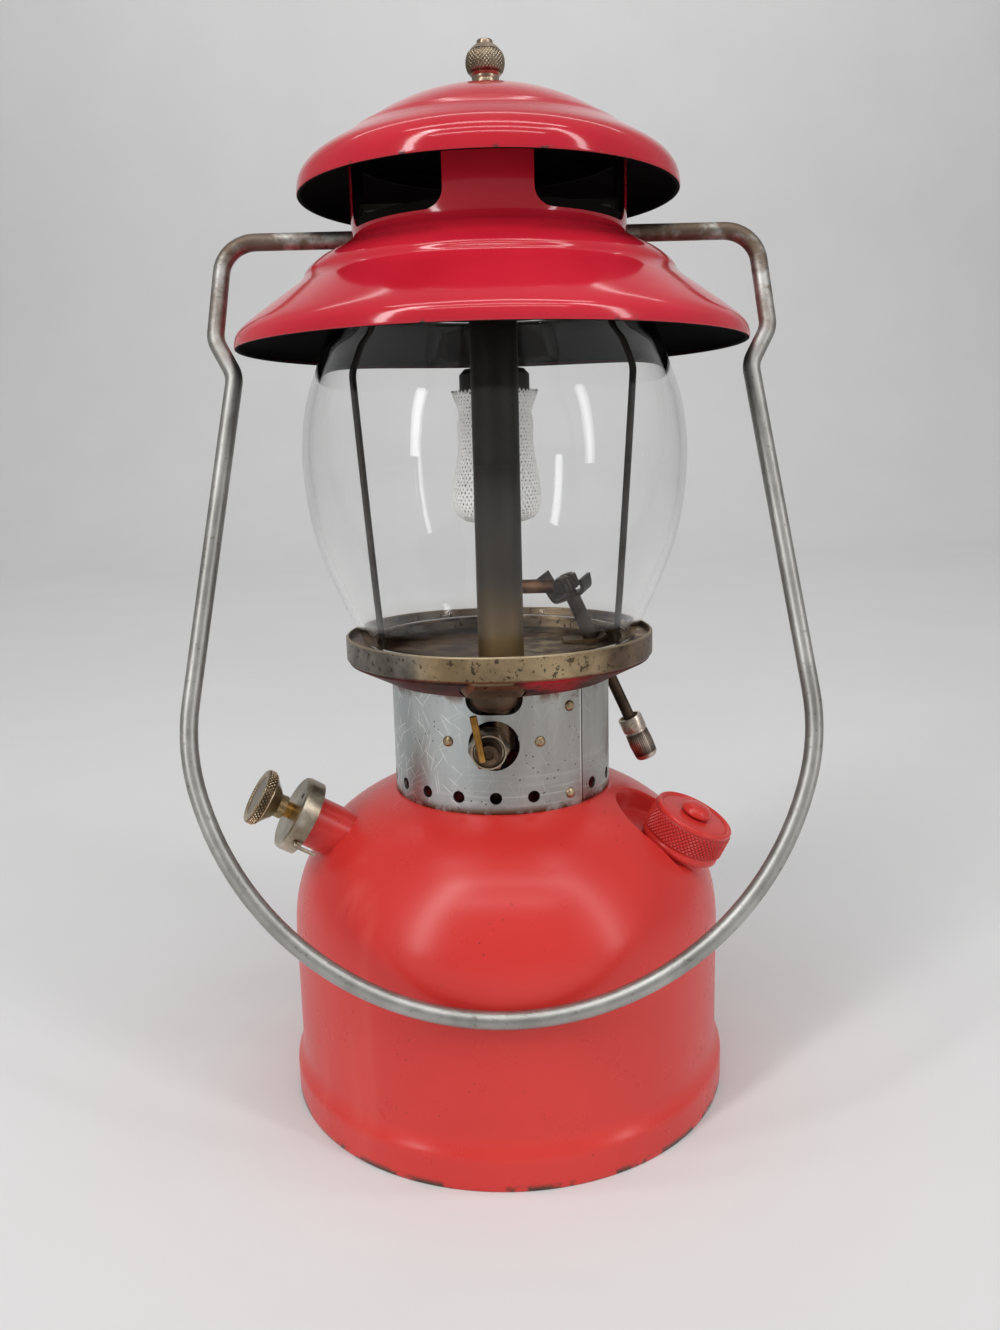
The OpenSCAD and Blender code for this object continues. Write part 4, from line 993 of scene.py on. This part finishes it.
def rolled_collar():
    angles = circle_angles(240)
    close = math.radians(0.04)
    angles = sorted(angles + [(SEAM_AT + s * close) % (2 * math.pi) for s in (-1, 1)])
    inner = COLLAR_R - COLLAR_T - 0.1
    section = [(COLLAR_R, COLLAR_LOW), (COLLAR_R, COLLAR_TOP), (inner, COLLAR_TOP), (inner, COLLAR_LOW)]
    verts, faces = spin(section, angles, lambda a, _z, row: lap_step(a) if row < 2 else 0.0)
    made = new_piece("collar_rolled", verts, faces, "collar", "collar_band", NO_MOVE, 30)
    valve_hole = round_outline(VALVE_HOLE_X, VALVE_Z, VALVE_HOLE_R, 64)
    cutters = [prism("valve_cut", valve_hole, 20, 50, FRONT_ON),
               prism("cup_cut", cup_notch(), 20, 50, FRONT_ON)]
    for i in range(AIR_HOLES):
        if i != AIR_SKIPPED:
            place = turned(i * 360 / AIR_HOLES + AIR_TURN, "Z") @ FRONT_ON
            cutters.append(prism("air_cut", round_outline(0.0, AIR_ROW, AIR_R, 28), 25, 45, place))
    cut_by(made, cutters, 30.0)


def dished_cup():
    outer = spline([(0.0, CUP_LOW), (3.4, CUP_LOW + 0.1), (5.4, CUP_LOW + 0.7), (6.9, CUP_LOW + 2.0),
                    (7.75, CUP_LOW + 4.0), (CUP_R, CUP_LOW + 6.4), (CUP_R, CUP_TOP)], 5)
    inner = offset(outer, -0.8)
    inner.reverse()
    verts, faces = spin(outer + inner, circle_angles(72))
    made = new_piece("cup_dished", verts, faces, "cup", "tube_cup", CUP_AT, 50)
    bore = round_outline(0.4, CUP_Y, 4.4)
    cut_by(made, [prism("stem_cut", bore, CUP_LOW - 2, CUP_LOW + 5, NO_MOVE)], 50.0)


def sixsided_nut():
    """Packing nut with bevelled flats that stands round the ring of the stem."""
    low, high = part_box("packing_nut")
    back, front = -high[1] / MM, -low[1] / MM
    corner, mouth, bore = 6.0, 4.35, 2.2
    face = front + 1.3
    outline = [(bore, back), (corner, back), (corner, face - 1.4), (corner - 0.95, face), (mouth + 0.3, face),
               (mouth, face - 0.3), (mouth, front), (bore, front)]

    def push(a, _z, row):
        edge = corner * math.cos(math.pi / 6) / math.cos(a % (math.pi / 3) - math.pi / 6)
        return min(0.0, edge - corner) if 1 <= row <= 2 else 0.0

    verts, faces = spin(outline, circle_angles(96), push)
    new_piece("nut_sixsided", verts, faces, "nut", "packing_nut", VALVE_AT, 25)


def bent_strip(points, thick, wide):
    """Strip bent along points of x and z, drawn out along y."""
    run = spline(points, 5)
    back = beside(run, -thick / 2)
    back.reverse()
    verts, faces = extruded(beside(run, thick / 2) + back, -wide / 2, wide / 2)
    return [(x, y, z) for x, z, y in verts], faces


ROD_BORE = 1.98


def bent_bracket():
    """Cradle round the striker wheel, its leg and its foot."""
    cradle = [(-6.9, 6.3), (-6.3, 2.2), (-5.75, -1.4), (-5.0, -3.0), (-3.2, -3.4), (0.0, -3.4), (3.6, -3.4),
              (5.4, -3.1), (6.3, -1.8), (7.0, 0.9)]
    rod = round_outline(0.0, 0.0, ROD_BORE)
    verts, faces = bent_strip(cradle, 1.1, 7.2)
    place = LIGHTER_AT @ turned(-30.0, "Z")
    made = new_piece("bracket_bent", verts, faces, "bracket", "lighter_bracket", place, 40)
    cut_by(made, [prism("rod_cut", rod, -8, -1, LIGHTER_AT)])
    verts, faces = spin([(ROD_BORE, -20.3), (2.4, -20.3), (2.4, -3.7), (ROD_BORE, -3.7)], circle_angles(48))
    new_piece("bracket_leg", verts, faces, "bracket", None, LIGHTER_AT)
    foot = [(21.0, 141.75), (25.0, 141.75), (30.0, 141.75), (33.2, 142.0), (34.8, 142.8), (35.6, 143.6)]
    verts, faces = bent_strip(foot, 0.9, 9.0)
    place = Matrix.Translation((0.0, LIGHTER_Y, 0.0))
    made = new_piece("bracket_foot", verts, faces, "foot", None, place)
    cut_by(made, [prism("rod_cut", rod, -28, -12, LIGHTER_AT)])


def striker():
    """Milled striker wheel with a screwdriver slot across its top."""
    teeth, root, tip = 16, 3.2, 3.95
    low, high = -1.6, 3.6
    angles = [2 * math.pi * (k + s) / teeth for k in range(teeth) for s in (0.0, 0.3, 0.5, 0.8)]
    outline = [(0.0, high), (2.5, high), (3.1, high - 0.2), (root, high - 0.6), (root, high - 0.9),
               (root, low + 0.4), (root - 0.2, low), (ROD_BORE, low), (ROD_BORE, 2.65), (0.0, 2.65)]
    step = 2 * math.pi / teeth

    def push(a, _z, row):
        high_part = 0.25 < (a / step + 1e-6) % 1.0 < 0.6
        return (tip - root) if high_part and 4 <= row <= 5 else 0.0

    verts, faces = spin(outline, angles, push)
    made = new_piece("wheel_milled", verts, faces, "wheel", "striker_wheel", LIGHTER_AT, 25)
    slot = [(-0.6, -5.0), (0.6, -5.0), (0.6, 5.0), (-0.6, 5.0)]
    cut_by(made, [prism("slot_cut", slot, high - 0.8, high + 1, LIGHTER_AT @ turned(35.0, "Z"))], 25.0)


CAP_ROUND, VENT_TOP = 65.5, 304.53
BRIM_RUN = [(39.3, 291.95), (40.5, 291.0), (41.8, 290.05), (44.5, 288.45), (47.0, 287.05), (50.1, 285.2),
            (52.3, 283.5), (53.8, 281.8), (54.8, 280.0), (55.3, 278.1), (55.5, 276.0)]


def enamelled_cap():
    run = [(2.8, VENT_TOP), (3.9, VENT_TOP)]
    for i in range(1, 40):
        a = math.radians(3.6 + (36.2 - 3.6) * i / 39)
        run.append((CAP_ROUND * math.sin(a), VENT_TOP - CAP_ROUND + CAP_ROUND * math.cos(a)))
    run += spline(BRIM_RUN, 5)
    section = rolled(run, VENT_T, VENT_ROLL)
    verts, faces = spin(section, circle_angles(HOOD_STEPS))
    new_piece("cap_enamelled", verts, faces, "cap", "ventilator_cap", NO_MOVE, 40)
    ring = [(41.0, 289.0), (41.0, 290.0), (38.6, 290.3), (38.6, 289.0)]
    verts, faces = spin(ring, circle_angles(RING_STEPS))
    new_piece("cap_ring", verts, faces, "soot", None)


knurled_cap()
domed_screw()
milled_knob()
lighter_grip()
knurled_ball()
knitted_bag()
blown_globe()
pressed_fount()
enamelled_skirt()
enamelled_cap()
rolled_collar()
dished_cup()
sixsided_nut()
bent_bracket()
striker()


# Stage

def area_light(name, at, target, size, power):
    data = bpy.data.lights.new(name, "AREA")
    data.shape = "RECTANGLE"
    data.size, data.size_y = size
    data.energy = power
    lamp = bpy.data.objects.new(name, data)
    lamp.location = at
    lamp.rotation_euler = (Vector(target) - Vector(at)).to_track_quat("-Z", "Y").to_euler()
    bpy.context.scene.collection.objects.link(lamp)


area_light("key", (-0.75, -0.75, 0.85), (0, 0, 0.16), (0.12, 1.5), 7.2)
area_light("fill", (0.85, -0.6, 0.75), (0, 0, 0.16), (0.10, 1.5), 4.2)
for strip, (y, z) in enumerate(((-0.75, 1.05), (-0.45, 1.2), (-0.12, 1.3))):
    area_light(f"strip_{strip}", (0, y, z), (0, 0, 0.2), (1.1, 0.07), 1.8)
area_light("wall", (0.0, 1.0, 1.9), (0, 2.2, 0.9), (2.4, 0.4), 14.0)

world = bpy.data.worlds.new("studio")
bpy.context.scene.world = world
world.use_nodes = True
world.node_tree.nodes["Background"].inputs["Color"].default_value = (0.80, 0.80, 0.80, 1.0)
world.node_tree.nodes["Background"].inputs["Strength"].default_value = 0.42


def backdrop():
    """Floor that sweeps up behind the object."""
    half, depth, back, bend = 3.0, 2.5, 1.6, 0.7
    rows = [(-depth, 0.0), (back, 0.0)]
    for i in range(1, 13):
        a = math.radians(90 * i / 12)
        rows.append((back + bend * math.sin(a), bend * (1 - math.cos(a))))
    rows.append((back + bend, 3.5))
    verts = [(s * half, y, z) for y, z in rows for s in (-1, 1)]
    faces = [(2 * i, 2 * i + 1, 2 * i + 3, 2 * i + 2) for i in range(len(rows) - 1)]
    data = bpy.data.meshes.new("floor")
    data.from_pydata(verts, [], faces)
    for face in data.polygons:
        face.use_smooth = True
    made = bpy.data.objects.new("floor", data)
    bpy.context.scene.collection.objects.link(made)
    pale = Finish("floor_paper", roughness=0.9)
    pale.set("Base Color", pale.mix(pale.noise(6, 4), (0.70, 0.70, 0.70), (0.76, 0.76, 0.76)))
    data.materials.append(pale.material)


backdrop()
